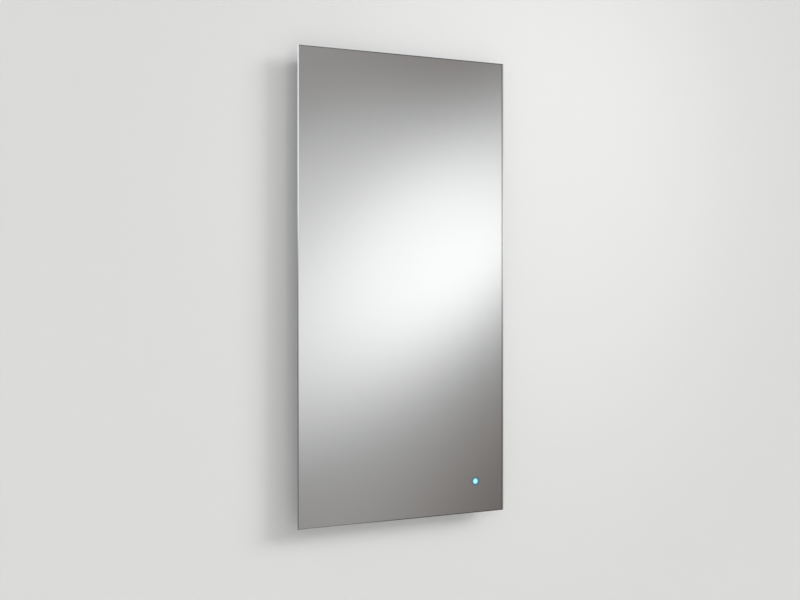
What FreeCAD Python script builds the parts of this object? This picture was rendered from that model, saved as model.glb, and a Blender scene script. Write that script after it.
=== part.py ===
import FreeCAD, Part

import math
import os

import Sketcher

# A frameless wall mirror with a light frame behind the glass, in millimetres.
# X runs to the right, Y runs into the wall and Z runs up. The wall is the plane Y = 0.
# The origin is midway between the two screw slots of the wall rail, on the wall.

Vector = FreeCAD.Vector
Rotation = FreeCAD.Rotation
Placement = FreeCAD.Placement
X_AXIS, Y_AXIS, Z_AXIS = Vector(1, 0, 0), Vector(0, 1, 0), Vector(0, 0, 1)

# ---------------------------------------------------------------- driving dimensions

DIMENSIONS = (
    # the glass
    ("mirror_width", 500.0),
    ("mirror_height", 1000.0),
    ("standoff", 35.0),  # from the wall to the front of the glass
    ("glass_thickness", 5.0),
    ("arris", 0.8),
    ("silver_thickness", 0.1),
    ("film_thickness", 0.2),
    ("film_margin", 2.0),  # bare silver left round the safety film
    ("tape_thickness", 0.7),
    ("tape_width", 12.0),
    # the touch point
    ("window_diameter", 20.0),
    ("sensor_gap", 0.4),  # from the heads of the corner screws to the touch sensor
    # the light frame and its extruded section
    ("frame_inset", 22.0),
    ("section_width", 26.0),
    ("section_wall", 1.5),
    ("key_chamber", 10.0),
    ("lip_height", 1.0),
    ("lip_width", 1.0),
    ("groove_width", 2.8),
    ("mitre_gap", 0.1),
    # the diffuser
    ("diffuser_play", 0.15),
    ("diffuser_skin", 1.4),
    ("diffuser_crown", 0.8),
    # the corner keys
    ("key_leg", 60.0),  # from the outer corner of the frame
    ("key_play", 0.2),
    ("key_screw_place", 45.0),
    # the LED strips
    ("strip_width", 10.0),
    ("strip_thickness", 0.3),
    ("strip_setback", 5.0),  # bare web at each end of a strip
    ("led_length", 2.8),
    ("led_width", 3.5),
    ("led_rise", 0.8),
    ("led_pitch", 16.667),
    # the hook profile and the wall rail
    ("wall_clearance", 0.3),
    ("hook_clearance", 0.3),
    ("face_clearance", 0.6),
    ("seat_clearance", 0.1),
    ("cleat_length", 300.0),
    ("cleat_thickness", 2.0),
    ("cleat_drop", 0.9),  # from the top of the frame to the top of the hook
    ("tongue_reach", 11.0),
    ("cleat_screws", 4),
    ("cleat_screw_inset", 24.0),  # from the ends of the hook profile
    ("cleat_screw_gap", 2.9),  # from the roof of the key chamber to the screws
    ("cleat_edge", 1.5),  # below the heads of the screws
    ("rail_length", 280.0),
    ("rail_thickness", 2.0),
    ("rail_below", 12.0),
    ("rail_step", 8.0),
    ("rail_tongue_top", 22.0),
    ("rail_lead_in", 0.6),
    ("slot_spacing", 200.0),
    ("slot_length", 12.0),
    ("slot_width", 5.5),
    # the bumpers
    ("bumper_foot", 18.0),
    ("bumper_face", 14.0),
    ("bumper_heel", 1.0),  # straight rim at its foot
    ("bumper_inset", 48.0),  # from the ends of the bottom section
    # screws
    ("pan_head", 7.0),
    ("pan_rise", 1.6),
    ("pan_shank", 4.0),
    ("pan_length", 7.0),
    ("screw_play", 0.25),
    ("screw_end", 0.8),  # stands out behind the tray
    ("thread_play", 0.05),
    ("sunk_head", 6.4),
    ("sunk_shank", 3.5),
    ("sunk_length", 7.0),
    ("drive_width", 1.2),
    ("drive_depth", 0.8),
    # the tray
    ("tray_drop", 80.0),  # from the wall screws to the top of the tray
    ("tray_height", 120.0),
    ("tray_sheet", 1.0),
    ("tray_air", 2.7),  # between the safety film and the tray
    ("tray_flange", 15.0),
    ("tray_bend", 2.0),
    ("tray_play", 0.3),
    ("tray_screw_spread", 80.0),
    ("bead_width", 6.0),  # stiffening beads pressed towards the glass
    ("bead_rise", 0.8),
    ("bead_edge", 9.0),  # from the edges of the tray to the beads
    ("bead_inset", 26.0),  # from the sides of the tray to the ends of the beads
    # the LED driver
    ("driver_place", 55.0),
    ("driver_length", 136.0),
    ("driver_height", 40.0),
    ("driver_depth", 17.0),
    ("driver_round", 3.0),
    ("driver_ear", 12.0),
    ("driver_grooves", 7),
    ("driver_groove_depth", 1.0),
    ("ear_thickness", 2.5),  # of the driver's ears and the box's lugs
    ("driver_screw_spread", 26.0),
    ("outlet_diameter", 8.5),
    ("outlet_length", 8.0),
    # the terminal box
    ("box_place", -110.0),
    ("box_width", 80.0),
    ("box_height", 60.0),
    ("box_wall", 2.0),
    ("box_round", 3.0),
    ("box_lid", 2.0),
    ("box_lid_lip", 1.5),
    ("lid_play", 0.15),
    ("boss_diameter", 7.0),
    ("boss_sink", 0.5),  # how far a boss runs into the wall
    ("lug_width", 10.0),
    ("lug_height", 14.0),
    ("lug_rise", 16.0),  # lugs sit above the middle of the box
    ("lid_screw_head", 5.5),
    ("lid_screw_shank", 2.9),
    ("lid_screw_length", 8.0),
    ("block_width", 30.0),
    ("block_height", 18.0),
    ("block_depth", 11.0),
    ("block_rise", 15.0),  # above the middle of the box
    ("block_poles", 3),
    # the cable gland
    ("gland_bore", 6.8),
    ("gland_thread", 10.0),
    ("gland_flats", 13.0),
    ("gland_flange", 5.0),
    ("gland_neck", 9.0),
    ("gland_neck_width", 9.0),
    ("gland_end", 0.5),  # of the thread, past the nut
    ("gland_cap_length", 15.0),
    ("cap_play", 0.2),  # within the flats of the body
    ("cap_taper", 3.0),
    ("cap_rim", 1.2),
    ("cap_flutes", 12),
    ("cap_flute", 1.6),
    ("gland_mouth", 7.6),
    ("gland_nut", 4.0),
    ("gland_gap", 0.3),  # round the locknut inside the box
    # leads and grommets
    ("supply_lead", 6.0),
    ("driver_lead", 4.0),
    ("strip_lead", 3.0),
    ("grommet_wall", 1.4),
    ("grommet_flange", 1.6),
    ("lead_play", 0.1),
    ("supply_exit_drop", 12.0),  # below the middle of the box
    ("clip_foot", 12.0),
    ("clip_foot_thickness", 1.0),
    ("clip_wall", 1.1),
    ("clip_length", 7.0),
    ("clip_count", 5),
    ("lead_inset", 24.0),  # from the frame to the lead that runs down beside it
    ("lead_drop", 6.0),  # below the tray, where the lead turns towards the film
    ("lead_reach", 48.0),  # further down to where it meets the film
    ("lead_rise", 62.0),  # above the sensor, where it leaves the film
    ("lead_straight", 24.0),  # above the sensor, where it hangs straight into it
    ("clip_gap", 42.0),  # from the bends to the first and last clips
    ("driver_lead_side", 8.0),  # from the touch point to the entry of the lead
    ("strip_lead_bend", 21.0),  # from the frame to the strip's lead, room for its bend
    ("strip_lead_straight", 12.0),
    ("strip_lead_rise", 72.0),  # from the touch point up to the hole in the frame
    ("supply_straight", 13.0),
    ("supply_inside", 6.0),
    # the touch sensor
    ("sensor_width", 43.5),
    ("sensor_height", 38.5),
    ("sensor_depth", 10.0),
    ("sensor_wall", 1.6),
    ("sensor_round", 4.0),
    ("sensor_cover", 2.0),
    ("sensor_play", 0.2),
    ("window_play", 0.2),
    ("glass_clearance", 0.05),
    ("disc_diameter", 13.0),
    ("disc_play", 0.1),
    ("disc_thickness", 1.6),
    ("disc_stem", 6.0),
    ("disc_cone", 1.0),
    ("board_thickness", 1.6),
    ("board_rise", 3.0),  # from the floor of the housing to the board
    ("board_play", 0.4),
    ("post_diameter", 4.0),
    ("post_inset", 3.0),
    ("board_short", 5.0),  # bare room at the top of the housing, for the leads
    ("chip_width", 10.0),
    ("chip_height", 6.0),
    ("chip_inset", 3.0),
)

# Places that follow from the dimensions above.
PLACES = (
    ("glass_back", "-(dim.standoff - dim.glass_thickness)"),
    ("silver_back", "at.glass_back + dim.silver_thickness"),
    ("film_back", "at.silver_back + dim.film_thickness"),
    ("frame_front", "at.film_back + dim.tape_thickness"),
    ("cleat_screw_pitch", "(dim.cleat_length - 2 * dim.cleat_screw_inset) / (dim.cleat_screws - 1)"),
    ("rail_back", "-(dim.wall_clearance + dim.cleat_thickness + dim.hook_clearance)"),
    ("rail_front", "at.rail_back - dim.rail_thickness"),
    ("cleat_face", "at.rail_front - dim.face_clearance"),
    ("frame_back", "at.cleat_face - dim.cleat_thickness"),
    ("section_depth", "at.frame_back - at.frame_front"),
    ("section_middle", "at.section_depth / 2"),
    ("cleat_under", "dim.rail_tongue_top + dim.seat_clearance"),
    ("cleat_top", "at.cleat_under + dim.cleat_thickness"),
    ("frame_top", "at.cleat_top + dim.cleat_drop"),
    ("mirror_top", "at.frame_top + dim.frame_inset"),
    ("mirror_bottom", "at.mirror_top - dim.mirror_height"),
    ("mirror_middle", "at.mirror_top - dim.mirror_height / 2"),
    ("frame_bottom", "at.mirror_bottom + dim.frame_inset"),
    ("frame_side", "dim.mirror_width / 2 - dim.frame_inset"),
    ("frame_height", "dim.mirror_height - 2 * dim.frame_inset"),
    ("frame_width", "2 * at.frame_side"),
    ("inner_side", "at.frame_side - dim.section_width"),
    ("key_inner", "dim.section_width - dim.section_wall"),
    ("key_outer", "at.key_inner - dim.key_chamber"),
    ("led_web", "at.key_outer - dim.section_wall"),
    ("cleat_screw_height", "at.frame_top - at.key_outer - dim.cleat_screw_gap"),
    ("cleat_bottom", "at.cleat_screw_height - dim.sunk_head / 2 - dim.cleat_edge"),
    ("groove_floor", "dim.lip_width + dim.groove_width"),
    ("strip_top", "at.led_web - dim.strip_thickness"),
    ("tray_front", "at.film_back + dim.tray_air"),
    ("tray_back", "at.tray_front + dim.tray_sheet"),
    ("tray_side", "at.inner_side - dim.tray_play"),
    ("tray_middle", "-dim.tray_drop - dim.tray_height / 2"),
    ("driver_left", "dim.driver_place - dim.driver_length / 2"),
    ("driver_right", "dim.driver_place + dim.driver_length / 2"),
    ("driver_axis", "at.tray_back + dim.driver_depth / 2"),
    ("box_right", "dim.box_place + dim.box_width / 2"),
    ("box_bottom", "at.tray_middle - dim.box_height / 2"),
    ("gland_axis", "dim.box_wall + dim.gland_gap + dim.gland_flats / 2"),
    ("box_depth", "at.gland_axis + dim.gland_flats / 2 + 2 * dim.gland_gap + dim.box_lid_lip"),
    ("box_mouth", "at.tray_back + at.box_depth"),
    ("boss_inset", "dim.box_wall + dim.boss_diameter / 2 - dim.boss_sink"),
    ("gland_y", "at.tray_back + at.gland_axis"),
    ("supply_exit", "at.tray_middle - dim.supply_exit_drop"),
    ("sensor_side", "at.inner_side - dim.pan_rise - dim.sensor_gap"),
    ("sensor_bottom", "at.frame_bottom + dim.section_width + dim.pan_rise + dim.sensor_gap"),
    ("touch_x", "at.sensor_side - dim.sensor_width / 2"),
    ("touch_z", "at.sensor_bottom + dim.sensor_height / 2"),
    ("sensor_back", "at.frame_front + dim.sensor_depth"),
    ("sensor_top", "at.touch_z + dim.sensor_height / 2"),
    ("board_front", "at.frame_front + dim.sensor_wall + dim.board_rise"),
    ("sensor_lead_y", "at.frame_front + dim.sensor_depth / 2"),
    ("strip_hole", "at.touch_z + dim.strip_lead_rise"),
    ("lead_run", "at.inner_side - dim.lead_inset"),
    ("driver_lead_entry", "at.touch_x - dim.driver_lead_side"),
    ("strip_lead_exit", "at.inner_side - dim.strip_lead_bend"),
    ("lead_down", "at.tray_middle - dim.tray_height / 2 - dim.lead_drop"),
    ("clip_top", "at.lead_down - dim.lead_reach - dim.clip_gap"),
    ("clip_bottom", "at.sensor_top + dim.lead_rise + dim.clip_gap"),
    ("clip_pitch", "(at.clip_top - at.clip_bottom) / (dim.clip_count - 1)"),
    ("lead_on_film", "at.film_back + dim.clip_foot_thickness + dim.driver_lead / 2 + dim.lead_play"),
)

doc = FreeCAD.newDocument("lighted_mirror")


def make_sheet(name, rows, prefix=""):
    """A sheet with a name and a value or formula in each row."""
    made = doc.addObject("Spreadsheet::Sheet", name)
    for row, (alias, content) in enumerate(rows, 1):
        made.set(f"A{row}", alias)
        made.set(f"B{row}", prefix + str(content))
        made.setAlias(f"B{row}", alias)
    return made


dim = make_sheet("dim", DIMENSIONS)
at = make_sheet("at", PLACES, "=")
doc.recompute()


def number(formula):
    """What a formula over the two sheets comes to at present."""
    return float(dim.evalExpression(str(formula)))


# ---------------------------------------------------------------- drawing and feature helpers

POINTS = ("whole line", "start", "end", "centre")  # how a sketch counts the points of its lines
START, END, CENTRE = (POINTS.index(word) for word in ("start", "end", "centre"))
MARGIN = 1.0  # how far a cutting outline runs past what it cuts

parts = []  # every sub-part, in the order in which it is made


def new_body(name):
    body = doc.addObject("PartDesign::Body", name)
    body.Label = name
    parts.append(body)
    return body


def new_sketch(body, plane, offset=None):
    """A sketch on one of the body's own origin planes, moved along the plane's normal by offset."""
    sketch = body.newObject("Sketcher::SketchObject", body.Name + "_sketch")
    support = [f for f in body.Origin.OriginFeatures if f.Role == plane][0]
    sketch.AttachmentSupport = [(support, "")]
    sketch.MapMode = "FlatFace"
    if offset is not None:
        sketch.setExpression("AttachmentOffset.Base.z", offset)
    return sketch


def fix_point(sketch, shape, end, x, y):
    """Ties a point to formulas for its X and Y. A plain 0 puts it on the axis.

    A sketch counts its X axis, which starts at its origin, as line -1 and its Y axis as line -2.
    """
    for kind, formula, zero_line in (("DistanceX", x, -2), ("DistanceY", y, -1)):
        if formula == 0:
            sketch.addConstraint(Sketcher.Constraint("PointOnObject", shape, end, zero_line))
        else:
            value = number(formula)
            made = sketch.addConstraint(Sketcher.Constraint(kind, -1, START, shape, end, value))
            sketch.setExpression(f"Constraints[{made}]", str(formula))


def draw_outline(sketch, points):
    """A closed outline of straight sides through points given as formulas."""
    corners = [Vector(number(x), number(y), 0) for x, y in points]
    first = sketch.GeometryCount
    for i, corner in enumerate(corners):
        sketch.addGeometry(Part.LineSegment(corner, corners[(i + 1) % len(corners)]))
    for i, (x, y) in enumerate(points):
        following = first + (i + 1) % len(corners)
        sketch.addConstraint(Sketcher.Constraint("Coincident", first + i, END, following, START))
        fix_point(sketch, first + i, START, x, y)


def draw_box(sketch, left, low, right, high):
    draw_outline(sketch, [(left, low), (right, low), (right, high), (left, high)])


def draw_circle(sketch, x, y, diameter):
    centre = Vector(number(x), number(y), 0)
    made = sketch.addGeometry(Part.Circle(centre, Z_AXIS, number(diameter) / 2))
    size = sketch.addConstraint(Sketcher.Constraint("Diameter", made, number(diameter)))
    sketch.setExpression(f"Constraints[{size}]", str(diameter))
    fix_point(sketch, made, CENTRE, x, y)


def draw_slot(sketch, x, y, length, width):
    """A slot that runs along the sketch's X, centred on x, y."""
    reach = f"({length} - {width}) / 2"
    radius = number(width) / 2
    quarter = math.pi / 2
    ends = []
    for side, turn in (("+", 0.0), ("-", math.pi)):
        centre = Vector(number(f"{x} {side} {reach}"), number(y), 0)
        arc = Part.ArcOfCircle(Part.Circle(centre, Z_AXIS, radius), turn - quarter, turn + quarter)
        made = sketch.addGeometry(arc)
        fix_point(sketch, made, CENTRE, f"{x} {side} {reach}", y)
        ends.append(made)
    right, left = ends
    tip = sketch.Geometry
    top = sketch.addGeometry(Part.LineSegment(tip[right].EndPoint, tip[left].StartPoint))
    low = sketch.addGeometry(Part.LineSegment(tip[left].EndPoint, tip[right].StartPoint))
    for one, one_end, other, other_end in (
        (right, END, top, START),
        (top, END, left, START),
        (left, END, low, START),
        (low, END, right, START),
    ):
        sketch.addConstraint(Sketcher.Constraint("Tangent", one, one_end, other, other_end))
    size = sketch.addConstraint(Sketcher.Constraint("Radius", right, radius))
    sketch.setExpression(f"Constraints[{size}]", f"{width} / 2")


def add_feature(body, kind, sketch, length, other_way, both_ways):
    """A Pad or Pocket of the sketch. With no length it goes right through."""
    feature = body.newObject("PartDesign::" + kind, body.Name + "_" + kind.lower())
    feature.Profile = sketch
    if length is None:
        feature.Type = "ThroughAll"
    else:
        feature.setExpression("Length", str(length))
    if both_ways:
        feature.SideType = "Symmetric"
    feature.Reversed = other_way
    body.Tip = feature
    return feature


def pad(body, sketch, length, against_normal=False, both_ways=False):
    """Adds material along the sketch's normal, unless told otherwise."""
    return add_feature(body, "Pad", sketch, length, against_normal, both_ways)


def pocket(body, sketch, length=None, along_normal=False, both_ways=False):
    """Cuts against the sketch's normal, unless told otherwise, and stops if nothing comes off."""
    doc.recompute()
    before = body.Shape.Volume
    feature = add_feature(body, "Pocket", sketch, length, along_normal, both_ways)
    doc.recompute()
    if not body.Shape.Volume < before - 1e-6:
        raise RuntimeError(f"a pocket in {body.Label} cuts nothing")
    return feature


def revolve(body, sketch):
    """Turns the sketch about its own Y axis."""
    feature = body.newObject("PartDesign::Revolution", body.Name + "_revolution")
    feature.Profile = sketch
    feature.ReferenceAxis = (sketch, ["V_Axis"])
    feature.Angle = 360
    body.Tip = feature
    return feature


def dress_edges(body, kind, size, choose):
    """A Fillet or Chamfer on the edges of the body that choose picks."""
    doc.recompute()
    base = body.Tip
    names = [f"Edge{i + 1}" for i, edge in enumerate(base.Shape.Edges) if choose(edge)]
    feature = body.newObject("PartDesign::" + kind, body.Name + "_" + kind.lower())
    feature.Base = (base, names)
    feature.setExpression("Radius" if kind == "Fillet" else "Size", str(size))
    body.Tip = feature
    return feature


def row_of(body, feature, sketch, pitch, count, axis="H_Axis"):
    """Repeats a feature along the sketch's X, or along its normal with the axis N_Axis."""
    row = body.newObject("PartDesign::LinearPattern", body.Name + "_row")
    row.Originals = [feature]
    row.Direction = (sketch, [axis])
    row.Mode = "Spacing"
    row.setExpression("Offset", str(pitch))
    row.setExpression("Occurrences", str(count))
    body.Tip = row


def ring_of(body, feature, sketch, count):
    """Repeats a feature round the sketch's own normal."""
    ring = body.newObject("PartDesign::PolarPattern", body.Name + "_ring")
    ring.Originals = [feature]
    ring.Axis = (sketch, ["N_Axis"])
    ring.Angle = 360
    ring.setExpression("Occurrences", str(count))
    body.Tip = ring


def put(body, x, y, z, turn=0):
    """Places a sub-part by formulas, turned about the Y axis."""
    body.Placement = Placement(Vector(0, 0, 0), Rotation(Y_AXIS, turn))
    for axis, formula in (("x", x), ("y", y), ("z", z)):
        body.setExpression("Placement.Base." + axis, str(formula))


def is_straight_along(edge, axis):
    """Is the edge a straight line along this axis?"""
    if edge.Curve.TypeId != "Part::GeomLine":
        return False
    return abs(abs(edge.tangentAt(edge.FirstParameter).dot(axis)) - 1) < 1e-6


def lies_at(edge, axis, value):
    """Does the whole edge lie in the plane where this coordinate has this value?"""
    return all(abs(v.Point.dot(axis) - value) < 1e-6 for v in edge.Vertexes)


def new_group(name, solids):
    """Alike small pieces that share one node, each a solid of its own."""
    group = doc.addObject("Part::Feature", name)
    group.Label = name
    group.Shape = Part.makeCompound(solids)
    group.Placement = Placement()
    parts.append(group)


def placed(shape, placement):
    copy = shape.copy()
    copy.Placement = placement.multiply(copy.Placement)
    return copy


# ---------------------------------------------------------------- screws

def pan_screw(length, head=None, shank=None):
    """A pan-head screw along +Z. The underside of its head is at Z = 0."""
    head_radius = (head or number("dim.pan_head")) / 2
    shank_radius = (shank or number("dim.pan_shank")) / 2
    rise = number("dim.pan_rise")
    slot_width, slot_depth = number("dim.drive_width"), number("dim.drive_depth")
    rim = Part.makeCylinder(head_radius, rise / 2, Vector(0, 0, -rise / 2), Z_AXIS)
    crown = Part.makeCone(head_radius * 0.75, head_radius, rise / 2, Vector(0, 0, -rise), Z_AXIS)
    slot = Part.makeBox(2 * head_radius, slot_width, slot_depth + MARGIN)
    slot.translate(Vector(-head_radius, -slot_width / 2, -rise - MARGIN))
    stem = Part.makeCylinder(shank_radius, length)
    return rim.fuse([crown, stem]).cut(slot).removeSplitter()


def sunk_screw(length):
    """A countersunk screw along +Z. The top of its head is at Z = 0."""
    head_radius = number("dim.sunk_head") / 2
    shank_radius = number("dim.sunk_shank") / 2
    slope = head_radius - shank_radius
    slot_width, slot_depth = number("dim.drive_width"), number("dim.drive_depth")
    head = Part.makeCone(head_radius, shank_radius, slope)
    slot = Part.makeBox(2 * head_radius, slot_width, slot_depth + MARGIN)
    slot.translate(Vector(-head_radius, -slot_width / 2, -MARGIN))
    stem = Part.makeCylinder(shank_radius, length)
    return head.fuse(stem).cut(slot).removeSplitter()


# ---------------------------------------------------------------- wall rail and hook profile

def make_wall_rail():
    """The Z-section on the wall: a base with two slots and a tongue that stands off the wall."""
    rail = new_body("wall_rail")
    section = new_sketch(rail, "YZ_Plane")
    draw_outline(section, [
        (0, "-dim.rail_below"),
        (0, "dim.rail_step + dim.rail_thickness"),
        ("at.rail_back", "dim.rail_step + dim.rail_thickness"),
        ("at.rail_back", "dim.rail_tongue_top - dim.rail_lead_in"),
        ("at.rail_back - dim.rail_lead_in", "dim.rail_tongue_top"),
        ("at.rail_front", "dim.rail_tongue_top"),
        ("at.rail_front", "dim.rail_step"),
        ("-dim.rail_thickness", "dim.rail_step"),
        ("-dim.rail_thickness", "-dim.rail_below"),
    ])
    pad(rail, section, "dim.rail_length", both_ways=True)
    slots = new_sketch(rail, "XZ_Plane")
    for side in ("-", ""):
        draw_slot(slots, f"{side}dim.slot_spacing / 2", 0, "dim.slot_length", "dim.slot_width")
    pocket(rail, slots, both_ways=True)


def make_hang_cleat():
    """The hook on the back of the top section: its tongue drops between the rail's tongue and the wall."""
    cleat = new_body("hang_cleat")
    section = new_sketch(cleat, "YZ_Plane")
    draw_outline(section, [
        ("at.frame_back", "at.cleat_bottom"),
        ("at.frame_back", "at.cleat_top"),
        ("-dim.wall_clearance", "at.cleat_top"),
        ("-dim.wall_clearance", "at.cleat_under - dim.tongue_reach"),
        ("-dim.wall_clearance - dim.cleat_thickness", "at.cleat_under - dim.tongue_reach"),
        ("-dim.wall_clearance - dim.cleat_thickness", "at.cleat_under"),
        ("at.cleat_face", "at.cleat_under"),
        ("at.cleat_face", "at.cleat_bottom"),
    ])
    pad(cleat, section, "dim.cleat_length", both_ways=True)
    holes = new_sketch(cleat, "XZ_Plane", f"-(at.frame_back - {MARGIN})")
    first = "-(dim.cleat_screws - 1) * at.cleat_screw_pitch / 2"
    bore = "dim.sunk_shank + 2 * dim.thread_play"
    draw_circle(holes, first, "at.cleat_screw_height", bore)
    hole = pocket(cleat, holes, f"dim.cleat_thickness + 2 * {MARGIN}")
    row_of(cleat, hole, holes, "at.cleat_screw_pitch", "dim.cleat_screws")
    face = number("at.cleat_face")
    rims = "(dim.sunk_head - dim.sunk_shank) / 2"
    dress_edges(cleat, "Chamfer", rims,
                lambda e: e.Curve.TypeId == "Part::GeomCircle" and lies_at(e, Y_AXIS, face))


def make_cleat_screws():
    count = int(number("dim.cleat_screws"))
    pitch = number("at.cleat_screw_pitch")
    height = number("at.cleat_screw_height")
    into_frame = Rotation(X_AXIS, 90)
    screw = sunk_screw(number("dim.sunk_length"))
    places = [
        Placement(Vector((i - (count - 1) / 2) * pitch, number("at.cleat_face"), height), into_frame)
        for i in range(count)
    ]
    new_group("cleat_screws", [placed(screw, place) for place in places])


# ---------------------------------------------------------------- glass

def make_glass():
    glass = new_body("mirror_glass")
    outline = new_sketch(glass, "XZ_Plane")
    draw_box(outline, "-dim.mirror_width / 2", "-dim.mirror_height / 2",
             "dim.mirror_width / 2", "dim.mirror_height / 2")
    pad(glass, outline, "dim.glass_thickness")
    thickness = number("dim.glass_thickness")
    dress_edges(glass, "Chamfer", "dim.arris",
                lambda e: lies_at(e, Y_AXIS, 0) or lies_at(e, Y_AXIS, -thickness))
    put(glass, 0, "at.glass_back", "at.mirror_middle")


def make_backing_layer(name, thickness, margin, front):
    """A thin layer on the back of the glass, open at the touch point."""
    layer = new_body(name)
    outline = new_sketch(layer, "XZ_Plane")
    draw_box(outline,
             f"-dim.mirror_width / 2 + {margin}", f"-dim.mirror_height / 2 + {margin}",
             f"dim.mirror_width / 2 - {margin}", f"dim.mirror_height / 2 - {margin}")
    draw_circle(outline, "at.touch_x", "at.touch_z - at.mirror_middle", "dim.window_diameter")
    pad(layer, outline, thickness, against_normal=True)
    put(layer, 0, front, "at.mirror_middle")


# ---------------------------------------------------------------- light frame
# Each side is drawn lying along X with its mouth up at Z = 0 and its front at Y = 0,
# and is then turned about Y into its place, so that the mouth faces out of the frame.

SIDES = {
    # name: (length, x, z, turn about Y)
    "top": ("at.frame_width", 0, "at.frame_top", 0),
    "right": ("at.frame_height", "at.frame_side", "at.mirror_middle", 90),
    "bottom": ("at.frame_width", 0, "at.frame_bottom", 180),
    "left": ("at.frame_height", "-at.frame_side", "at.mirror_middle", 270),
}


def side_placement(side):
    """Where a side's own origin goes, for pieces that are placed by code."""
    length, x, z, turn = SIDES[side]
    return Placement(Vector(number(x), number("at.frame_front"), number(z)), Rotation(Y_AXIS, turn))


def cut_mitres(body, length, depth):
    """Takes both ends of a side off at 45 degrees, from its mouth inwards."""
    cutters = new_sketch(body, "XZ_Plane")
    for side in ("", "-"):
        tip = f"{side}({length} / 2 - dim.mitre_gap / 2 + {MARGIN})"
        root = f"{side}({length} / 2 - dim.mitre_gap / 2 - {depth} - {MARGIN})"
        draw_outline(cutters, [(tip, MARGIN), (tip, f"-{depth} - {MARGIN}"), (root, f"-{depth} - {MARGIN}")])
    pocket(body, cutters, both_ways=True)


def drill_inner_web(body, places, diameter, depth):
    """Round holes from the inside of the frame towards its mouth."""
    holes = new_sketch(body, "XY_Plane", "-dim.section_width")
    for place in places:
        draw_circle(holes, place, "at.section_middle", diameter)
    pocket(body, holes, depth, along_normal=True)


def make_frame_side(side):
    """The extruded section: a chamber for the corner keys behind, and a channel for the light in front."""
    length, x, z, turn = SIDES[side]
    body = new_body("frame_" + side)
    section = new_sketch(body, "YZ_Plane")
    wall, deep = "dim.section_wall", "at.section_depth"
    lip = "dim.section_wall + dim.lip_height"
    low_rib = "-at.groove_floor - dim.lip_width"
    near_side = [
        (wall, "-at.led_web"), (wall, low_rib), (lip, low_rib), (lip, "-at.groove_floor"),
        (wall, "-at.groove_floor"), (wall, "-dim.lip_width"), (lip, "-dim.lip_width"), (lip, 0), (0, 0),
    ]
    far_side = [(f"{deep} - ({y})" if y != 0 else deep, z) for y, z in reversed(near_side)]
    draw_outline(section, [(0, "-dim.section_width"), (deep, "-dim.section_width")] + far_side + near_side)
    draw_box(section, wall, "-at.key_inner", f"{deep} - {wall}", "-at.key_outer")
    pad(body, section, length, both_ways=True)
    cut_mitres(body, length, "dim.section_width")
    corner = f"({length} / 2 - dim.key_screw_place)"
    screw_hole = "dim.pan_shank + 2 * dim.screw_play"
    web_depth = "dim.section_wall + dim.key_play"
    drill_inner_web(body, ["-" + corner, corner], screw_hole, web_depth)
    if side in ("left", "right"):
        centre = "(at.tray_middle - at.mirror_middle)"
        if side == "right":
            centre = "-" + centre
        spread = "dim.tray_screw_spread / 2"
        threaded = "dim.pan_shank + 2 * dim.thread_play"
        drill_inner_web(body, [f"{centre} - {spread}", f"{centre} + {spread}"], threaded, web_depth)
    if side == "right":
        drill_inner_web(body, ["at.mirror_middle - at.strip_hole"],
                        "dim.strip_lead + 2 * dim.grommet_wall", web_depth)
        drill_inner_web(body, ["at.mirror_middle - at.strip_hole"],
                        "dim.strip_lead + 2 * dim.screw_play", "dim.section_width - at.strip_top")
    if side == "top":
        holes = new_sketch(body, "XZ_Plane", "-at.section_depth")
        first = "-(dim.cleat_screws - 1) * at.cleat_screw_pitch / 2"
        bore = "dim.sunk_shank + 2 * dim.thread_play"
        draw_circle(holes, first, "at.cleat_screw_height - at.frame_top", bore)
        hole = pocket(body, holes, web_depth, along_normal=True)
        row_of(body, hole, holes, "at.cleat_screw_pitch", "dim.cleat_screws")
    put(body, x, "at.frame_front", z, turn)


def make_diffuser(side):
    """The opal cover: two feet in the grooves and a crowned face between the lips."""
    length, x, z, turn = SIDES[side]
    body = new_body("diffuser_" + side)
    section = new_sketch(body, "YZ_Plane")
    play, skin = "dim.diffuser_play", "dim.diffuser_skin"
    foot = f"dim.section_wall + {play}"
    shoulder = f"dim.section_wall + dim.lip_height + {play}"
    inside = f"{shoulder} + {skin}"
    low, high = f"-at.groove_floor + {play}", f"-dim.lip_width - {play}"
    face = f"-{skin} / 2"
    near_side = [(inside, f"{face} - {skin}"), (inside, low), (foot, low), (foot, high), (shoulder, high)]
    near_side += [(shoulder, face), (f"{inside}", f"{face} + dim.diffuser_crown")]
    far_side = [(f"at.section_depth - ({y})", z) for y, z in reversed(near_side)]
    draw_outline(section, near_side + far_side)
    pad(body, section, length, both_ways=True)
    cut_mitres(body, length, "at.groove_floor")
    put(body, x, "at.frame_front", z, turn)


def make_led_strip(side):
    """A flexible circuit on the outer web with a row of LED packages, centred on its length."""
    length, x, z, turn = SIDES[side]
    half = f"({length} / 2 - at.led_web - dim.strip_setback)"
    body = new_body("led_strip_" + side)
    strip = new_sketch(body, "XY_Plane", "-at.led_web")
    draw_box(strip, f"-{half}", "at.section_middle - dim.strip_width / 2",
             half, "at.section_middle + dim.strip_width / 2")
    pad(body, strip, "dim.strip_thickness")
    count = f"floor((2 * {half} - dim.led_pitch) / dim.led_pitch)"
    first = f"(-({count} - 1) * dim.led_pitch / 2)"
    package = new_sketch(body, "XY_Plane", "-at.led_web + dim.strip_thickness / 2")
    draw_box(package, f"{first} - dim.led_length / 2", "at.section_middle - dim.led_width / 2",
             f"{first} + dim.led_length / 2", "at.section_middle + dim.led_width / 2")
    led = pad(body, package, "dim.led_rise + dim.strip_thickness / 2")
    row_of(body, led, package, "dim.led_pitch", count)
    put(body, x, "at.frame_front", z, turn)


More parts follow.
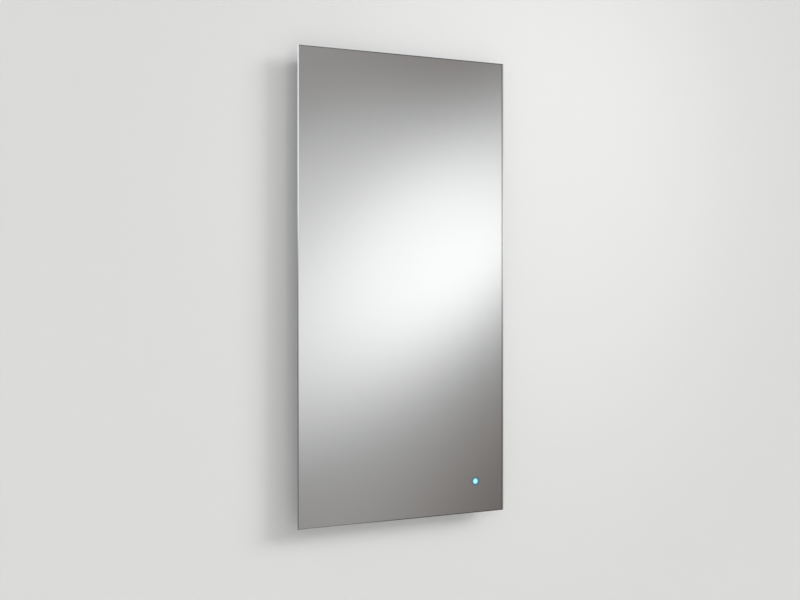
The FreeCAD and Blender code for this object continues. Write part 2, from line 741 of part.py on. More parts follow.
def make_strip_link(name, from_side):
    """The thin bent link that carries the strips round a corner."""
    length, x, z, turn = SIDES[from_side]
    body = new_body(name)
    outline = new_sketch(body, "XZ_Plane", "-at.section_middle - dim.led_width")
    # measured from the outer corner of the frame, on the webs
    start = "-at.led_web - dim.strip_setback"
    web, top = "-at.led_web", "-at.strip_top"
    draw_outline(outline, [(start, web), (start, top), (top, top), (top, start), (web, start), (web, web)])
    pad(body, outline, "2 * dim.led_width")
    corner = {"top": ("at.frame_side", "at.frame_top"),
              "right": ("at.frame_side", "at.frame_bottom"),
              "bottom": ("-at.frame_side", "at.frame_bottom")}[from_side]
    put(body, corner[0], "at.frame_front", corner[1], turn)


def make_corner_key(name, corner_x, corner_z, turn):
    """An L-shaped key that fills the chambers on both sides of a mitre, with a screw hole in each leg."""
    body = new_body(name)
    outer = "-(at.key_outer + dim.key_play)"
    inner = "-(at.key_inner - dim.key_play)"
    outline = new_sketch(body, "XZ_Plane", "-(dim.section_wall + dim.key_play)")
    draw_outline(outline, [
        (outer, outer), (outer, "-dim.key_leg"), (inner, "-dim.key_leg"),
        (inner, inner), ("-dim.key_leg", inner), ("-dim.key_leg", outer),
    ])
    pad(body, outline, "at.section_depth - 2 * (dim.section_wall + dim.key_play)", against_normal=True)
    bore = "dim.pan_shank + 2 * dim.thread_play"
    along_z = new_sketch(body, "XY_Plane", inner)
    draw_circle(along_z, "-dim.key_screw_place", "at.section_middle", bore)
    pocket(body, along_z, "dim.key_chamber", along_normal=True)
    along_x = new_sketch(body, "YZ_Plane", inner)
    draw_circle(along_x, "at.section_middle", "-dim.key_screw_place", bore)
    pocket(body, along_x, "dim.key_chamber", along_normal=True)
    put(body, corner_x, "at.frame_front", corner_z, turn)


def make_corner_screws():
    screws = []
    web = -number("dim.section_width")
    screw = pan_screw(number("dim.pan_length"))
    for side, (length, x, z, turn) in SIDES.items():
        reach = number(length) / 2 - number("dim.key_screw_place")
        for place in (-reach, reach):
            at_web = Placement(Vector(place, number("at.section_middle"), web), Rotation())
            screws.append(placed(screw, side_placement(side).multiply(at_web)))
    new_group("corner_screws", screws)


def make_bond_tape(side):
    """The adhesive strip between the front of a frame side and the back of the glass."""
    length, x, z, turn = SIDES[side]
    body = new_body("bond_tape_" + side)
    outline = new_sketch(body, "XZ_Plane")
    edge = "(dim.section_width - dim.tape_width) / 2"
    if side in ("top", "bottom"):
        reach = f"({length} / 2 - {edge})"
    else:
        reach = f"({length} / 2 - {edge} - dim.tape_width)"
    draw_box(outline, f"-{reach}", f"-{edge} - dim.tape_width", reach, f"-{edge}")
    pad(body, outline, "dim.tape_thickness")
    put(body, x, "at.frame_front", z, turn)


def make_bumper(name, side):
    """A tapered rubber foot on the back of the bottom section, which touches the wall."""
    body = new_body(name)
    profile = new_sketch(body, "XY_Plane")
    draw_outline(profile, [
        (0, "at.frame_back"), ("dim.bumper_foot / 2", "at.frame_back"),
        ("dim.bumper_foot / 2", "at.frame_back + dim.bumper_heel"), ("dim.bumper_face / 2", 0), (0, 0),
    ])
    revolve(body, profile)
    put(body, f"{side}(at.frame_side - dim.bumper_inset)", 0, "at.frame_bottom + dim.section_width / 2")


# ---------------------------------------------------------------- tray and driver

def make_tray():
    """A folded sheet channel that crosses the frame, with a pressed bead near its top and bottom."""
    body = new_body("electrics_tray")
    section = new_sketch(body, "XY_Plane", "at.tray_middle")
    side, front, back = "at.tray_side", "at.tray_front", "at.tray_back"
    end = f"{front} + dim.tray_flange"
    inner = f"{side} - dim.tray_sheet"
    draw_outline(section, [
        (f"-{side}", front), (side, front), (side, end), (f"({inner})", end),
        (f"({inner})", back), (f"-({inner})", back), (f"-({inner})", end), (f"-{side}", end),
    ])
    pad(body, section, "dim.tray_height", both_ways=True)
    front_at, back_at, side_at = number(front), number(back), number(side)
    sheet = number("dim.tray_sheet")
    dress_edges(body, "Fillet", "dim.tray_bend + dim.tray_sheet", lambda e: (
        is_straight_along(e, Z_AXIS) and lies_at(e, Y_AXIS, front_at)))
    dress_edges(body, "Fillet", "dim.tray_bend", lambda e: (
        is_straight_along(e, Z_AXIS) and lies_at(e, Y_AXIS, back_at)
        and abs(abs(e.Vertexes[0].Point.x) - (side_at - sheet)) < 1e-6))
    # beads: raised in front and hollow behind, a sheet apart
    bead_length = f"2 * ({side} - dim.bead_inset)"
    raised = new_sketch(body, "XZ_Plane", f"-{front}")
    sunk = new_sketch(body, "XZ_Plane", f"-{back}")
    for sign in ("+", "-"):
        place = f"at.tray_middle {sign} (dim.tray_height / 2 - dim.bead_edge)"
        draw_slot(raised, 0, place, bead_length, "dim.bead_width")
        draw_slot(sunk, 0, place, f"{bead_length} - dim.tray_sheet", "dim.bead_width - dim.tray_sheet")
    pad(body, raised, "dim.bead_rise")
    pocket(body, sunk, "dim.bead_rise", along_normal=True)
    # holes for the screws of the driver and of the terminal box
    holes = new_sketch(body, "XZ_Plane")
    bore = "dim.lid_screw_shank + 2 * dim.thread_play"
    for x, z in driver_screw_places() + box_screw_places():
        draw_circle(holes, x, z, bore)
    pocket(body, holes, both_ways=True)
    # holes for the screws into the frame
    holes = new_sketch(body, "YZ_Plane")
    for sign in ("-", "+"):
        draw_circle(holes, "at.frame_front + at.section_middle",
                    f"at.tray_middle {sign} dim.tray_screw_spread / 2", "dim.pan_shank + 2 * dim.screw_play")
    pocket(body, holes, both_ways=True)


def make_tray_screws():
    screws = []
    screw = pan_screw(number("dim.pan_length"))
    y = number("at.frame_front + at.section_middle")
    for sign, turn in ((1, 90), (-1, -90)):
        x = sign * number("at.tray_side - dim.tray_sheet")
        for spread in (-0.5, 0.5):
            z = number("at.tray_middle") + spread * number("dim.tray_screw_spread")
            screws.append(placed(screw, Placement(Vector(x, y, z), Rotation(Y_AXIS, turn))))
    new_group("tray_screws", screws)


def driver_screw_places():
    """Formulas for the four screws in the ears of the driver."""
    return [
        (f"dim.driver_place {a} (dim.driver_length + dim.driver_ear) / 2",
         f"at.tray_middle {b} dim.driver_screw_spread / 2")
        for a in ("-", "+") for b in ("-", "+")
    ]


def box_screw_places():
    """Formulas for the two screws in the lugs of the terminal box."""
    return [
        (f"dim.box_place {a} (dim.box_width + dim.lug_width) / 2", "at.tray_middle + dim.lug_rise")
        for a in ("-", "+")
    ]


def make_driver():
    """The closed driver case: ears on the tray, cooling grooves on its back and an outlet at each end."""
    body = new_body("led_driver")
    half, tall = "dim.driver_length / 2", "dim.driver_height / 2"
    outline = new_sketch(body, "XZ_Plane")
    draw_box(outline, f"-{half}", f"-{tall}", half, tall)
    pad(body, outline, "dim.driver_depth", against_normal=True)
    depth = number("dim.driver_depth")
    dress_edges(body, "Fillet", "dim.driver_round", lambda e: (
        is_straight_along(e, Y_AXIS) or lies_at(e, Y_AXIS, depth)))
    ears = new_sketch(body, "XZ_Plane")
    draw_box(ears, f"-{half} - dim.driver_ear", f"-{tall} + dim.driver_round",
             f"{half} + dim.driver_ear", f"{tall} - dim.driver_round")
    pad(body, ears, "dim.ear_thickness", against_normal=True)
    holes = new_sketch(body, "XZ_Plane")
    for a in ("-", ""):
        for b in ("-", ""):
            draw_circle(holes, f"{a}(dim.driver_length + dim.driver_ear) / 2",
                        f"{b}dim.driver_screw_spread / 2", "dim.lid_screw_shank + 2 * dim.screw_play")
    pocket(body, holes, both_ways=True)
    outlets = new_sketch(body, "YZ_Plane")
    draw_circle(outlets, "dim.driver_depth / 2", 0, "dim.outlet_diameter")
    pad(body, outlets, "dim.driver_length + 2 * dim.outlet_length", both_ways=True)
    pitch = "dim.driver_height / (dim.driver_grooves + 1)"
    groove = new_sketch(body, "XY_Plane", f"-{tall} + {pitch}")
    draw_box(groove, f"-{half} + 2 * dim.driver_round", "dim.driver_depth - dim.driver_groove_depth",
             f"{half} - 2 * dim.driver_round", f"dim.driver_depth + {MARGIN}")
    cut = pocket(body, groove, f"{pitch} / 2", both_ways=True)
    row_of(body, cut, groove, pitch, "dim.driver_grooves", axis="N_Axis")
    put(body, "dim.driver_place", "at.tray_back", "at.tray_middle")


def make_electrics_screws():
    """Small pan screws: four through the driver's ears and two through the box's lugs."""
    screw = pan_screw(number("dim.ear_thickness + dim.tray_sheet + dim.screw_end"),
                      number("dim.lid_screw_head"), number("dim.lid_screw_shank"))
    y = number("at.tray_back + dim.ear_thickness")
    into_tray = Rotation(X_AXIS, 90)
    for name, places in (("driver_screws", driver_screw_places()), ("box_screws", box_screw_places())):
        new_group(name, [
            placed(screw, Placement(Vector(number(x), y, number(z)), into_tray)) for x, z in places
        ])


# ---------------------------------------------------------------- terminal box

def boss_places():
    """Formulas for the four screw bosses in the corners of the box, from its own centre."""
    across = "(dim.box_width / 2 - at.boss_inset)"
    up = "(dim.box_height / 2 - at.boss_inset)"
    return [(f"{a}{across}", f"{b}{up}") for a in ("-", "") for b in ("-", "")]


def make_terminal_box():
    """The open base: four walls, bosses in its corners, two lugs, and holes for the gland and grommet."""
    body = new_body("terminal_box")
    half, tall = "dim.box_width / 2", "dim.box_height / 2"
    outline = new_sketch(body, "XZ_Plane")
    draw_box(outline, f"-{half}", f"-{tall}", half, tall)
    pad(body, outline, "at.box_depth", against_normal=True)
    dress_edges(body, "Fillet", "dim.box_round", lambda e: is_straight_along(e, Y_AXIS))
    lugs = new_sketch(body, "XZ_Plane")
    draw_box(lugs, f"-{half} - dim.lug_width", "dim.lug_rise - dim.lug_height / 2",
             f"{half} + dim.lug_width", "dim.lug_rise + dim.lug_height / 2")
    pad(body, lugs, "dim.ear_thickness", against_normal=True)
    hollow = new_sketch(body, "XZ_Plane", "-dim.box_wall")
    draw_box(hollow, f"-{half} + dim.box_wall", f"-{tall} + dim.box_wall",
             f"{half} - dim.box_wall", f"{tall} - dim.box_wall")
    pocket(body, hollow, "at.box_depth")
    bosses = new_sketch(body, "XZ_Plane")
    for x, z in boss_places():
        draw_circle(bosses, x, z, "dim.boss_diameter")
    pad(body, bosses, "at.box_depth - dim.box_lid_lip", against_normal=True)
    bores = new_sketch(body, "XZ_Plane")
    for side in ("-", ""):
        draw_circle(bores, f"{side}(dim.box_width + dim.lug_width) / 2", "dim.lug_rise",
                    "dim.lid_screw_shank + 2 * dim.screw_play")
    pocket(body, bores, both_ways=True)
    pilots = new_sketch(body, "XZ_Plane", "-dim.box_wall")
    for x, z in boss_places():
        draw_circle(pilots, x, z, "dim.lid_screw_shank + 2 * dim.thread_play")
    pocket(body, pilots, "at.box_depth")
    entry = new_sketch(body, "XY_Plane", f"-{tall} - {MARGIN}")
    draw_circle(entry, 0, "at.gland_axis", "dim.gland_thread + 2 * dim.lead_play")
    pocket(body, entry, f"dim.box_wall + 2 * {MARGIN}", along_normal=True)
    exit_hole = new_sketch(body, "YZ_Plane", f"{half} + {MARGIN}")
    draw_circle(exit_hole, "dim.driver_depth / 2", "-dim.supply_exit_drop",
                "dim.supply_lead + 2 * dim.grommet_wall")
    pocket(body, exit_hole, f"dim.box_wall + 2 * {MARGIN}")
    put(body, "dim.box_place", "at.tray_back", "at.tray_middle")


def make_terminal_lid():
    """The lid: a plate over the walls with a lip that drops inside them."""
    body = new_body("terminal_lid")
    half, tall = "dim.box_width / 2", "dim.box_height / 2"
    outline = new_sketch(body, "XZ_Plane")
    draw_box(outline, f"-{half}", f"-{tall}", half, tall)
    pad(body, outline, "dim.box_lid", against_normal=True)
    dress_edges(body, "Fillet", "dim.box_round", lambda e: is_straight_along(e, Y_AXIS))
    back = number("dim.box_lid")
    dress_edges(body, "Chamfer", "dim.box_lid / 4", lambda e: lies_at(e, Y_AXIS, back))
    lip = new_sketch(body, "XZ_Plane")
    inset = "(dim.box_wall + dim.lid_play)"
    draw_box(lip, f"-{half} + {inset}", f"-{tall} + {inset}", f"{half} - {inset}", f"{tall} - {inset}")
    deeper = f"({inset} + dim.box_wall / 2)"
    draw_box(lip, f"-{half} + {deeper}", f"-{tall} + {deeper}", f"{half} - {deeper}", f"{tall} - {deeper}")
    pad(body, lip, "dim.box_lid_lip - dim.lid_play")
    holes = new_sketch(body, "XZ_Plane")
    for x, z in boss_places():
        draw_circle(holes, x, z, "dim.lid_screw_shank + 2 * dim.screw_play")
    pocket(body, holes, both_ways=True)
    put(body, "dim.box_place", "at.box_mouth", "at.tray_middle")


def make_lid_screws():
    screw = pan_screw(number("dim.lid_screw_length"), number("dim.lid_screw_head"),
                      number("dim.lid_screw_shank"))
    y = number("at.box_mouth + dim.box_lid")
    places = [
        Vector(number(f"dim.box_place + ({x})"), y, number(f"at.tray_middle + ({z})"))
        for x, z in boss_places()
    ]
    new_group("lid_screws", [placed(screw, Placement(p, Rotation(X_AXIS, 90))) for p in places])


def make_terminal_block():
    """The pillar terminals: a moulded row with a wire hole through each pole and a screw well over it."""
    body = new_body("terminal_block")
    width, tall, deep = "dim.block_width", "dim.block_height", "dim.block_depth"
    foot = new_sketch(body, "XZ_Plane")
    draw_box(foot, f"-{width} / 2", f"-{tall} / 2", f"{width} / 2", f"{tall} / 2")
    pad(body, foot, f"{deep} / 2", against_normal=True)
    tower = new_sketch(body, "XZ_Plane", f"-{deep} / 2")
    draw_box(tower, f"-{width} / 2", f"-{tall} / 3", f"{width} / 2", f"{tall} / 3")
    pad(body, tower, f"{deep} / 2", against_normal=True)
    pitch = f"{width} / dim.block_poles"
    first = f"-(dim.block_poles - 1) * {pitch} / 2"
    wells = new_sketch(body, "XZ_Plane", f"-{deep}")
    draw_circle(wells, first, 0, f"{pitch} / 2")
    well = pocket(body, wells, f"{deep} / 3", along_normal=True)
    row_of(body, well, wells, pitch, "dim.block_poles")
    wires = new_sketch(body, "XY_Plane")
    draw_circle(wires, first, f"{deep} / 3", f"{pitch} / 3")
    wire = pocket(body, wires, both_ways=True)
    row_of(body, wire, wires, pitch, "dim.block_poles")
    put(body, "dim.box_place", "at.tray_back + dim.box_wall", "at.tray_middle + dim.block_rise")


# ---------------------------------------------------------------- cable gland
# Drawn along +Z with the outside of the box wall at Z = 0 and the box above it.

def draw_hexagon(sketch, flats):
    """A hexagon about the origin with two of its flats across the sketch's Y."""
    across, point = f"{flats} / 2", f"{flats} / sqrt(3)"
    draw_outline(sketch, [
        (point, 0), (f"{point} / 2", across), (f"-{point} / 2", across),
        (f"-{point}", 0), (f"-{point} / 2", f"-{across}"), (f"{point} / 2", f"-{across}"),
    ])


def make_gland():
    inside = "dim.box_wall + dim.gland_nut + dim.gland_end"
    body = new_body("cable_gland")
    hexagon = new_sketch(body, "XY_Plane", "-dim.gland_flange")
    draw_hexagon(hexagon, "dim.gland_flats")
    pad(body, hexagon, "dim.gland_flange")
    thread = new_sketch(body, "XY_Plane")
    draw_circle(thread, 0, 0, "dim.gland_thread")
    pad(body, thread, inside)
    neck = new_sketch(body, "XY_Plane", "-dim.gland_flange")
    draw_circle(neck, 0, 0, "dim.gland_neck_width")
    pad(body, neck, "dim.gland_neck", against_normal=True)
    bore = new_sketch(body, "XY_Plane")
    draw_circle(bore, 0, 0, "dim.gland_bore")
    pocket(body, bore, both_ways=True)
    put(body, "dim.box_place", "at.gland_y", "at.box_bottom")

    cap = new_body("gland_cap")
    profile = new_sketch(cap, "XZ_Plane")
    outer, start = "dim.gland_flats / 2 - dim.cap_play", "-dim.gland_flange - dim.seat_clearance"
    inner = "dim.gland_neck_width / 2 + dim.lead_play"
    end = "-dim.gland_flange - dim.gland_cap_length"
    shoulder = "-dim.gland_flange - dim.gland_neck - dim.lead_play"
    draw_outline(profile, [
        (inner, start), (outer, start), (outer, f"{end} + dim.cap_taper"),
        ("dim.gland_mouth / 2 + dim.cap_rim", end), ("dim.gland_mouth / 2", end),
        ("dim.gland_mouth / 2", f"{shoulder} - dim.cap_rim"), (inner, shoulder),
    ])
    revolve(cap, profile)
    flute = new_sketch(cap, "XY_Plane", f"{start} + {MARGIN}")
    draw_circle(flute, f"{outer} + dim.cap_flute / 4", 0, "dim.cap_flute")
    cut = pocket(cap, flute, f"dim.gland_cap_length + {MARGIN}")
    ring_of(cap, cut, flute, "dim.cap_flutes")
    put(cap, "dim.box_place", "at.gland_y", "at.box_bottom")

    nut = new_body("gland_nut")
    ring = new_sketch(nut, "XY_Plane", "dim.box_wall + dim.lead_play")
    draw_hexagon(ring, "dim.gland_flats")
    draw_circle(ring, 0, 0, "dim.gland_thread + 2 * dim.thread_play")
    pad(nut, ring, "dim.gland_nut - dim.lead_play")
    put(nut, "dim.box_place", "at.gland_y", "at.box_bottom")


# ---------------------------------------------------------------- leads, grommets and clips

BEND_SHARE = 0.9  # of the room between two bends, the part that the bends take


def make_lead(name, diameter, points):
    """A round lead along straight runs joined by arcs as large as the runs allow. Prints its radii."""
    edges, radii = [], []
    here = points[0]
    for i in range(1, len(points) - 1):
        corner = points[i]
        back, on = points[i - 1] - corner, points[i + 1] - corner
        # a run between two bends is shared by both of them
        room_before = back.Length if i == 1 else back.Length / 2
        room_after = on.Length if i == len(points) - 2 else on.Length / 2
        back.normalize()
        on.normalize()
        turn = math.pi - back.getAngle(on)
        reach = BEND_SHARE * min(room_before, room_after)
        radius = reach / math.tan(turn / 2)
        radii.append(radius)
        inwards = (back + on).normalize()
        centre = corner + inwards * (radius / math.cos(turn / 2))
        start, end = corner + back * reach, corner + on * reach
        middle = centre - inwards * radius
        edges += [Part.LineSegment(here, start).toShape(), Part.Arc(start, middle, end).toShape()]
        here = end
    edges.append(Part.LineSegment(here, points[-1]).toShape())
    path = Part.Wire(edges)
    first_run = (points[1] - points[0]).normalize()
    section = Part.Wire(Part.Circle(points[0], first_run, diameter / 2).toShape())
    tube = Part.Wire(path).makePipeShell([section], True, True)
    expected = math.pi * diameter ** 2 / 4 * path.Length
    print(f"{name}: {path.Length:.0f} mm, radii {', '.join(f'{r:.0f}' for r in radii)} mm,",
          f"volume {tube.Volume / expected:.4f} of its section times its length")
    lead = doc.addObject("Part::Feature", name)
    lead.Label = name
    lead.Shape = tube
    lead.Placement = Placement()
    parts.append(lead)


def route(points):
    """Turns formulas for X, Y and Z into points."""
    return [Vector(number(x), number(y), number(z)) for x, y, z in points]


def make_leads():
    make_lead("supply_lead", number("dim.supply_lead"), route([
        ("at.box_right - dim.box_wall - dim.supply_inside", "at.driver_axis", "at.supply_exit"),
        ("at.box_right + dim.supply_straight", "at.driver_axis", "at.supply_exit"),
        ("at.driver_left - dim.outlet_length - dim.supply_straight", "at.driver_axis", "at.tray_middle"),
        ("at.driver_left - dim.outlet_length", "at.driver_axis", "at.tray_middle"),
    ]))
    make_lead("driver_lead", number("dim.driver_lead"), route([
        ("at.driver_right + dim.outlet_length", "at.driver_axis", "at.tray_middle"),
        ("at.lead_run", "at.driver_axis", "at.tray_middle"),
        ("at.lead_run", "at.driver_axis", "at.lead_down"),
        ("at.lead_run", "at.lead_on_film", "at.lead_down - dim.lead_reach"),
        ("at.lead_run", "at.lead_on_film", "at.sensor_top + dim.lead_rise"),
        ("at.driver_lead_entry", "at.sensor_lead_y", "at.sensor_top + dim.lead_straight"),
        ("at.driver_lead_entry", "at.sensor_lead_y", "at.sensor_top - dim.sensor_wall / 2"),
    ]))
    make_lead("strip_lead", number("dim.strip_lead"), route([
        ("at.strip_lead_exit", "at.sensor_lead_y", "at.sensor_top - dim.sensor_wall / 2"),
        ("at.strip_lead_exit", "at.sensor_lead_y", "at.sensor_top + dim.strip_lead_straight"),
        ("at.strip_lead_exit", "at.frame_front + at.section_middle", "at.strip_hole"),
        ("at.frame_side - at.led_web", "at.frame_front + at.section_middle", "at.strip_hole"),
    ]))


def make_box_grommet():
    """The rubber ring in the wall of the terminal box that the lead to the driver passes through."""
    body = new_body("box_grommet")
    profile = new_sketch(body, "XY_Plane")
    bore = "dim.supply_lead / 2 + dim.lead_play"
    neck = "dim.supply_lead / 2 + dim.grommet_wall - dim.lead_play"
    rim = "dim.supply_lead / 2 + 2 * dim.grommet_wall"
    wall, flange = "(dim.box_wall + dim.lead_play)", "dim.grommet_flange"
    draw_outline(profile, [
        (bore, f"-{wall} - {flange} / 2"), (rim, f"-{wall} - {flange} / 2"), (rim, f"-{wall}"),
        (neck, f"-{wall}"), (neck, "dim.lead_play"), (rim, "dim.lead_play"), (rim, flange), (bore, flange),
    ])
    revolve(body, profile)
    body.Placement = Placement(Vector(0, 0, 0), Rotation(Z_AXIS, -90))
    for axis, formula in (("x", "at.box_right"), ("y", "at.driver_axis"), ("z", "at.supply_exit")):
        body.setExpression("Placement.Base." + axis, formula)


def make_strip_grommet():
    """The same kind of ring in the inner web of the right side, for the lead to the LED strip."""
    body = new_body("strip_grommet")
    profile = new_sketch(body, "XY_Plane")
    bore = "dim.strip_lead / 2 + dim.lead_play"
    neck = "dim.strip_lead / 2 + dim.grommet_wall - dim.lead_play"
    rim = "dim.strip_lead / 2 + 2 * dim.grommet_wall"
    flange = "dim.grommet_flange"
    draw_outline(profile, [
        (bore, f"-{flange}"), (rim, f"-{flange}"), (rim, "-dim.lead_play"), (neck, "-dim.lead_play"),
        (neck, "dim.section_wall"), (bore, "dim.section_wall"),
    ])
    revolve(body, profile)
    body.Placement = Placement(Vector(0, 0, 0), Rotation(Z_AXIS, -90))
    places = (("x", "at.inner_side"), ("y", "at.frame_front + at.section_middle"), ("z", "at.strip_hole"))
    for axis, formula in places:
        body.setExpression("Placement.Base." + axis, formula)


def clip_shape():
    """An adhesive clip about a lead along Z: a foot on the film and an arch over the lead."""
    foot, thick = number("dim.clip_foot"), number("dim.clip_foot_thickness")
    radius = number("dim.driver_lead / 2 + dim.lead_play")
    length, wall = number("dim.clip_length"), number("dim.clip_wall")
    base = Part.makeBox(foot, thick, foot, Vector(-foot / 2, -radius - thick, -foot / 2))
    base = base.makeFillet(foot / 8, [e for e in base.Edges if is_straight_along(e, Y_AXIS)])
    arch = Part.makeCylinder(radius + wall, length, Vector(0, 0, -length / 2))
    sole = Part.makeBox(foot, foot, 2 * foot, Vector(-foot / 2, -radius - thick - foot, -foot))
    bore = Part.makeCylinder(radius, 2 * foot, Vector(0, 0, -foot))
    return base.fuse(arch).cut([sole, bore]).removeSplitter()


def make_clips():
    clip = clip_shape()
    x, y = number("at.lead_run"), number("at.lead_on_film")
    first, pitch = number("at.clip_top"), number("at.clip_pitch")
    places = [Vector(x, y, first - i * pitch) for i in range(int(number("dim.clip_count")))]
    new_group("lead_clips", [placed(clip, Placement(place, Rotation())) for place in places])


# ---------------------------------------------------------------- touch sensor

def make_sensor_housing():
    """A shallow open housing. Its round boss reaches through the window in the silver to the glass."""
    body = new_body("sensor_housing")
    half, tall = "dim.sensor_width / 2", "dim.sensor_height / 2"
    outline = new_sketch(body, "XZ_Plane")
    draw_box(outline, f"-{half}", f"-{tall}", half, tall)
    pad(body, outline, "dim.sensor_depth", against_normal=True)
    dress_edges(body, "Fillet", "dim.sensor_round", lambda e: is_straight_along(e, Y_AXIS))
    hollow = new_sketch(body, "XZ_Plane", "-dim.sensor_wall")
    draw_box(hollow, f"-{half} + dim.sensor_wall", f"-{tall} + dim.sensor_wall",
             f"{half} - dim.sensor_wall", f"{tall} - dim.sensor_wall")
    pocket(body, hollow, "dim.sensor_depth")
    boss = new_sketch(body, "XZ_Plane")
    draw_circle(boss, 0, 0, "dim.window_diameter - 2 * dim.window_play")
    pad(body, boss, "at.frame_front - at.glass_back - dim.glass_clearance")
    light_hole = new_sketch(body, "XZ_Plane")
    draw_circle(light_hole, 0, 0, "dim.disc_diameter + 2 * dim.disc_play")
    pocket(body, light_hole, both_ways=True)
    entries = new_sketch(body, "XY_Plane", f"{tall} + {MARGIN}")
    leads = (("at.driver_lead_entry", "dim.driver_lead"), ("at.strip_lead_exit", "dim.strip_lead"))
    for place, lead in leads:
        draw_circle(entries, f"{place} - at.touch_x", "dim.sensor_depth / 2", f"{lead} + 2 * dim.lead_play")
    pocket(body, entries, f"dim.sensor_wall + 2 * {MARGIN}")
    posts = new_sketch(body, "XZ_Plane", "-dim.sensor_wall / 2")
    across = f"({half} - dim.sensor_wall - dim.post_inset)"
    up = f"({tall} - dim.sensor_wall - dim.post_inset)"
    for a in ("-", ""):
        draw_circle(posts, f"{a}{across}", f"-{up}", "dim.post_diameter")
    pad(body, posts, "dim.sensor_wall / 2 + dim.board_rise", against_normal=True)
    put(body, "at.touch_x", "at.frame_front", "at.touch_z")


def make_sensor_cover():
    """The cover over the back of the sensor, with a shallow rim that drops into it."""
    body = new_body("sensor_cover")
    half, tall = "dim.sensor_width / 2", "dim.sensor_height / 2"
    outline = new_sketch(body, "XZ_Plane")
    draw_box(outline, f"-{half}", f"-{tall}", half, tall)
    pad(body, outline, "dim.sensor_cover", against_normal=True)
    dress_edges(body, "Fillet", "dim.sensor_round", lambda e: is_straight_along(e, Y_AXIS))
    back = number("dim.sensor_cover")
    dress_edges(body, "Chamfer", "dim.sensor_cover / 3", lambda e: lies_at(e, Y_AXIS, back))
    rim = new_sketch(body, "XZ_Plane")
    inset = "(dim.sensor_wall + dim.sensor_play)"
    draw_box(rim, f"-{half} + {inset}", f"-{tall} + {inset}", f"{half} - {inset}", f"{tall} - {inset}")
    pad(body, rim, "dim.sensor_wall / 2")
    put(body, "at.touch_x", "at.sensor_back", "at.touch_z")


def make_sensor_board():
    """The circuit board on its posts: LED towards the glass, controller and plug rows behind."""
    body = new_body("sensor_board")
    inset = "(dim.sensor_wall + dim.board_play)"
    half, tall = f"(dim.sensor_width / 2 - {inset})", f"(dim.sensor_height / 2 - {inset})"
    outline = new_sketch(body, "XZ_Plane")
    draw_box(outline, f"-{half}", f"-{tall}", half, f"{tall} - dim.board_short")
    pad(body, outline, "dim.board_thickness", against_normal=True)
    led = new_sketch(body, "XZ_Plane")
    draw_box(led, "-dim.led_width / 2", "-dim.led_width / 2", "dim.led_width / 2", "dim.led_width / 2")
    pad(body, led, "dim.led_rise")
    chip = new_sketch(body, "XZ_Plane", "-dim.board_thickness")
    for edge in (f"(-{half} + dim.chip_inset)", f"({half} - dim.chip_inset - dim.chip_width)"):
        draw_box(chip, edge, f"-{tall} + dim.chip_inset",
                 f"{edge} + dim.chip_width", f"-{tall} + dim.chip_inset + dim.chip_height")
    pad(body, chip, "dim.board_thickness", against_normal=True)
    put(body, "at.touch_x", "at.board_front", "at.touch_z")


def make_sensor_disc():
    """The light disc that shows as the touch point: a round face against the glass and a stem to the LED."""
    body = new_body("sensor_disc")
    profile = new_sketch(body, "XY_Plane")
    stem = "at.board_front - at.glass_back - dim.glass_clearance - dim.led_rise - dim.disc_play"
    draw_outline(profile, [
        (0, 0), ("dim.disc_diameter / 2", 0), ("dim.disc_diameter / 2", "dim.disc_thickness"),
        ("dim.disc_stem / 2", "dim.disc_thickness + dim.disc_cone"), ("dim.disc_stem / 2", stem), (0, stem),
    ])
    revolve(body, profile)
    put(body, "at.touch_x", "at.glass_back + dim.glass_clearance", "at.touch_z")


def make_sensor_pad():
    """The adhesive pad that holds the housing to the back of the glass."""
    body = new_body("sensor_pad")
    inset = "dim.sensor_wall"
    half, tall = f"(dim.sensor_width / 2 - {inset})", f"(dim.sensor_height / 2 - {inset})"
    outline = new_sketch(body, "XZ_Plane")
    draw_box(outline, f"-{half}", f"-{tall}", half, tall)
    draw_circle(outline, 0, 0, "dim.window_diameter")
    pad(body, outline, "dim.tape_thickness")
    put(body, "at.touch_x", "at.frame_front", "at.touch_z")


# ---------------------------------------------------------------- the assembly

make_wall_rail()
make_glass()
make_backing_layer("silver_layer", "dim.silver_thickness", "dim.arris", "at.glass_back")
make_backing_layer("safety_film", "dim.film_thickness", "dim.film_margin", "at.silver_back")
for side_name in SIDES:
    make_frame_side(side_name)
    make_bond_tape(side_name)
    make_led_strip(side_name)
    make_diffuser(side_name)
make_corner_key("corner_key_top_right", "at.frame_side", "at.frame_top", 0)
make_corner_key("corner_key_bottom_right", "at.frame_side", "at.frame_bottom", 90)
make_corner_key("corner_key_bottom_left", "-at.frame_side", "at.frame_bottom", 180)
make_corner_key("corner_key_top_left", "-at.frame_side", "at.frame_top", 270)
make_corner_screws()
make_strip_link("strip_link_top_right", "top")
make_strip_link("strip_link_bottom_right", "right")
make_strip_link("strip_link_bottom_left", "bottom")
make_hang_cleat()
make_cleat_screws()
make_bumper("bumper_left", "-")
make_bumper("bumper_right", "")
make_tray()
make_tray_screws()
make_driver()
make_terminal_box()
make_terminal_lid()
make_lid_screws()
make_terminal_block()
make_electrics_screws()
make_gland()
make_box_grommet()
make_strip_grommet()
make_leads()
make_clips()
make_sensor_housing()
make_sensor_cover()
make_sensor_board()
make_sensor_disc()
make_sensor_pad()

# ---------------------------------------------------------------- check and write

doc.recompute()
for item in doc.Objects:
    if any(word in item.State for word in ("Invalid", "Error")):
        raise RuntimeError(f"{item.Label} failed: {item.State}")
os.makedirs("parts", exist_ok=True)
for part in parts:
    if part.Shape.isNull() or not part.Shape.isValid() or not part.Shape.Solids:
        raise RuntimeError(f"{part.Label} has no valid solid")
    part.Shape.exportStep(f"parts/{part.Label}.step")
print(len(parts), "sub-parts written")
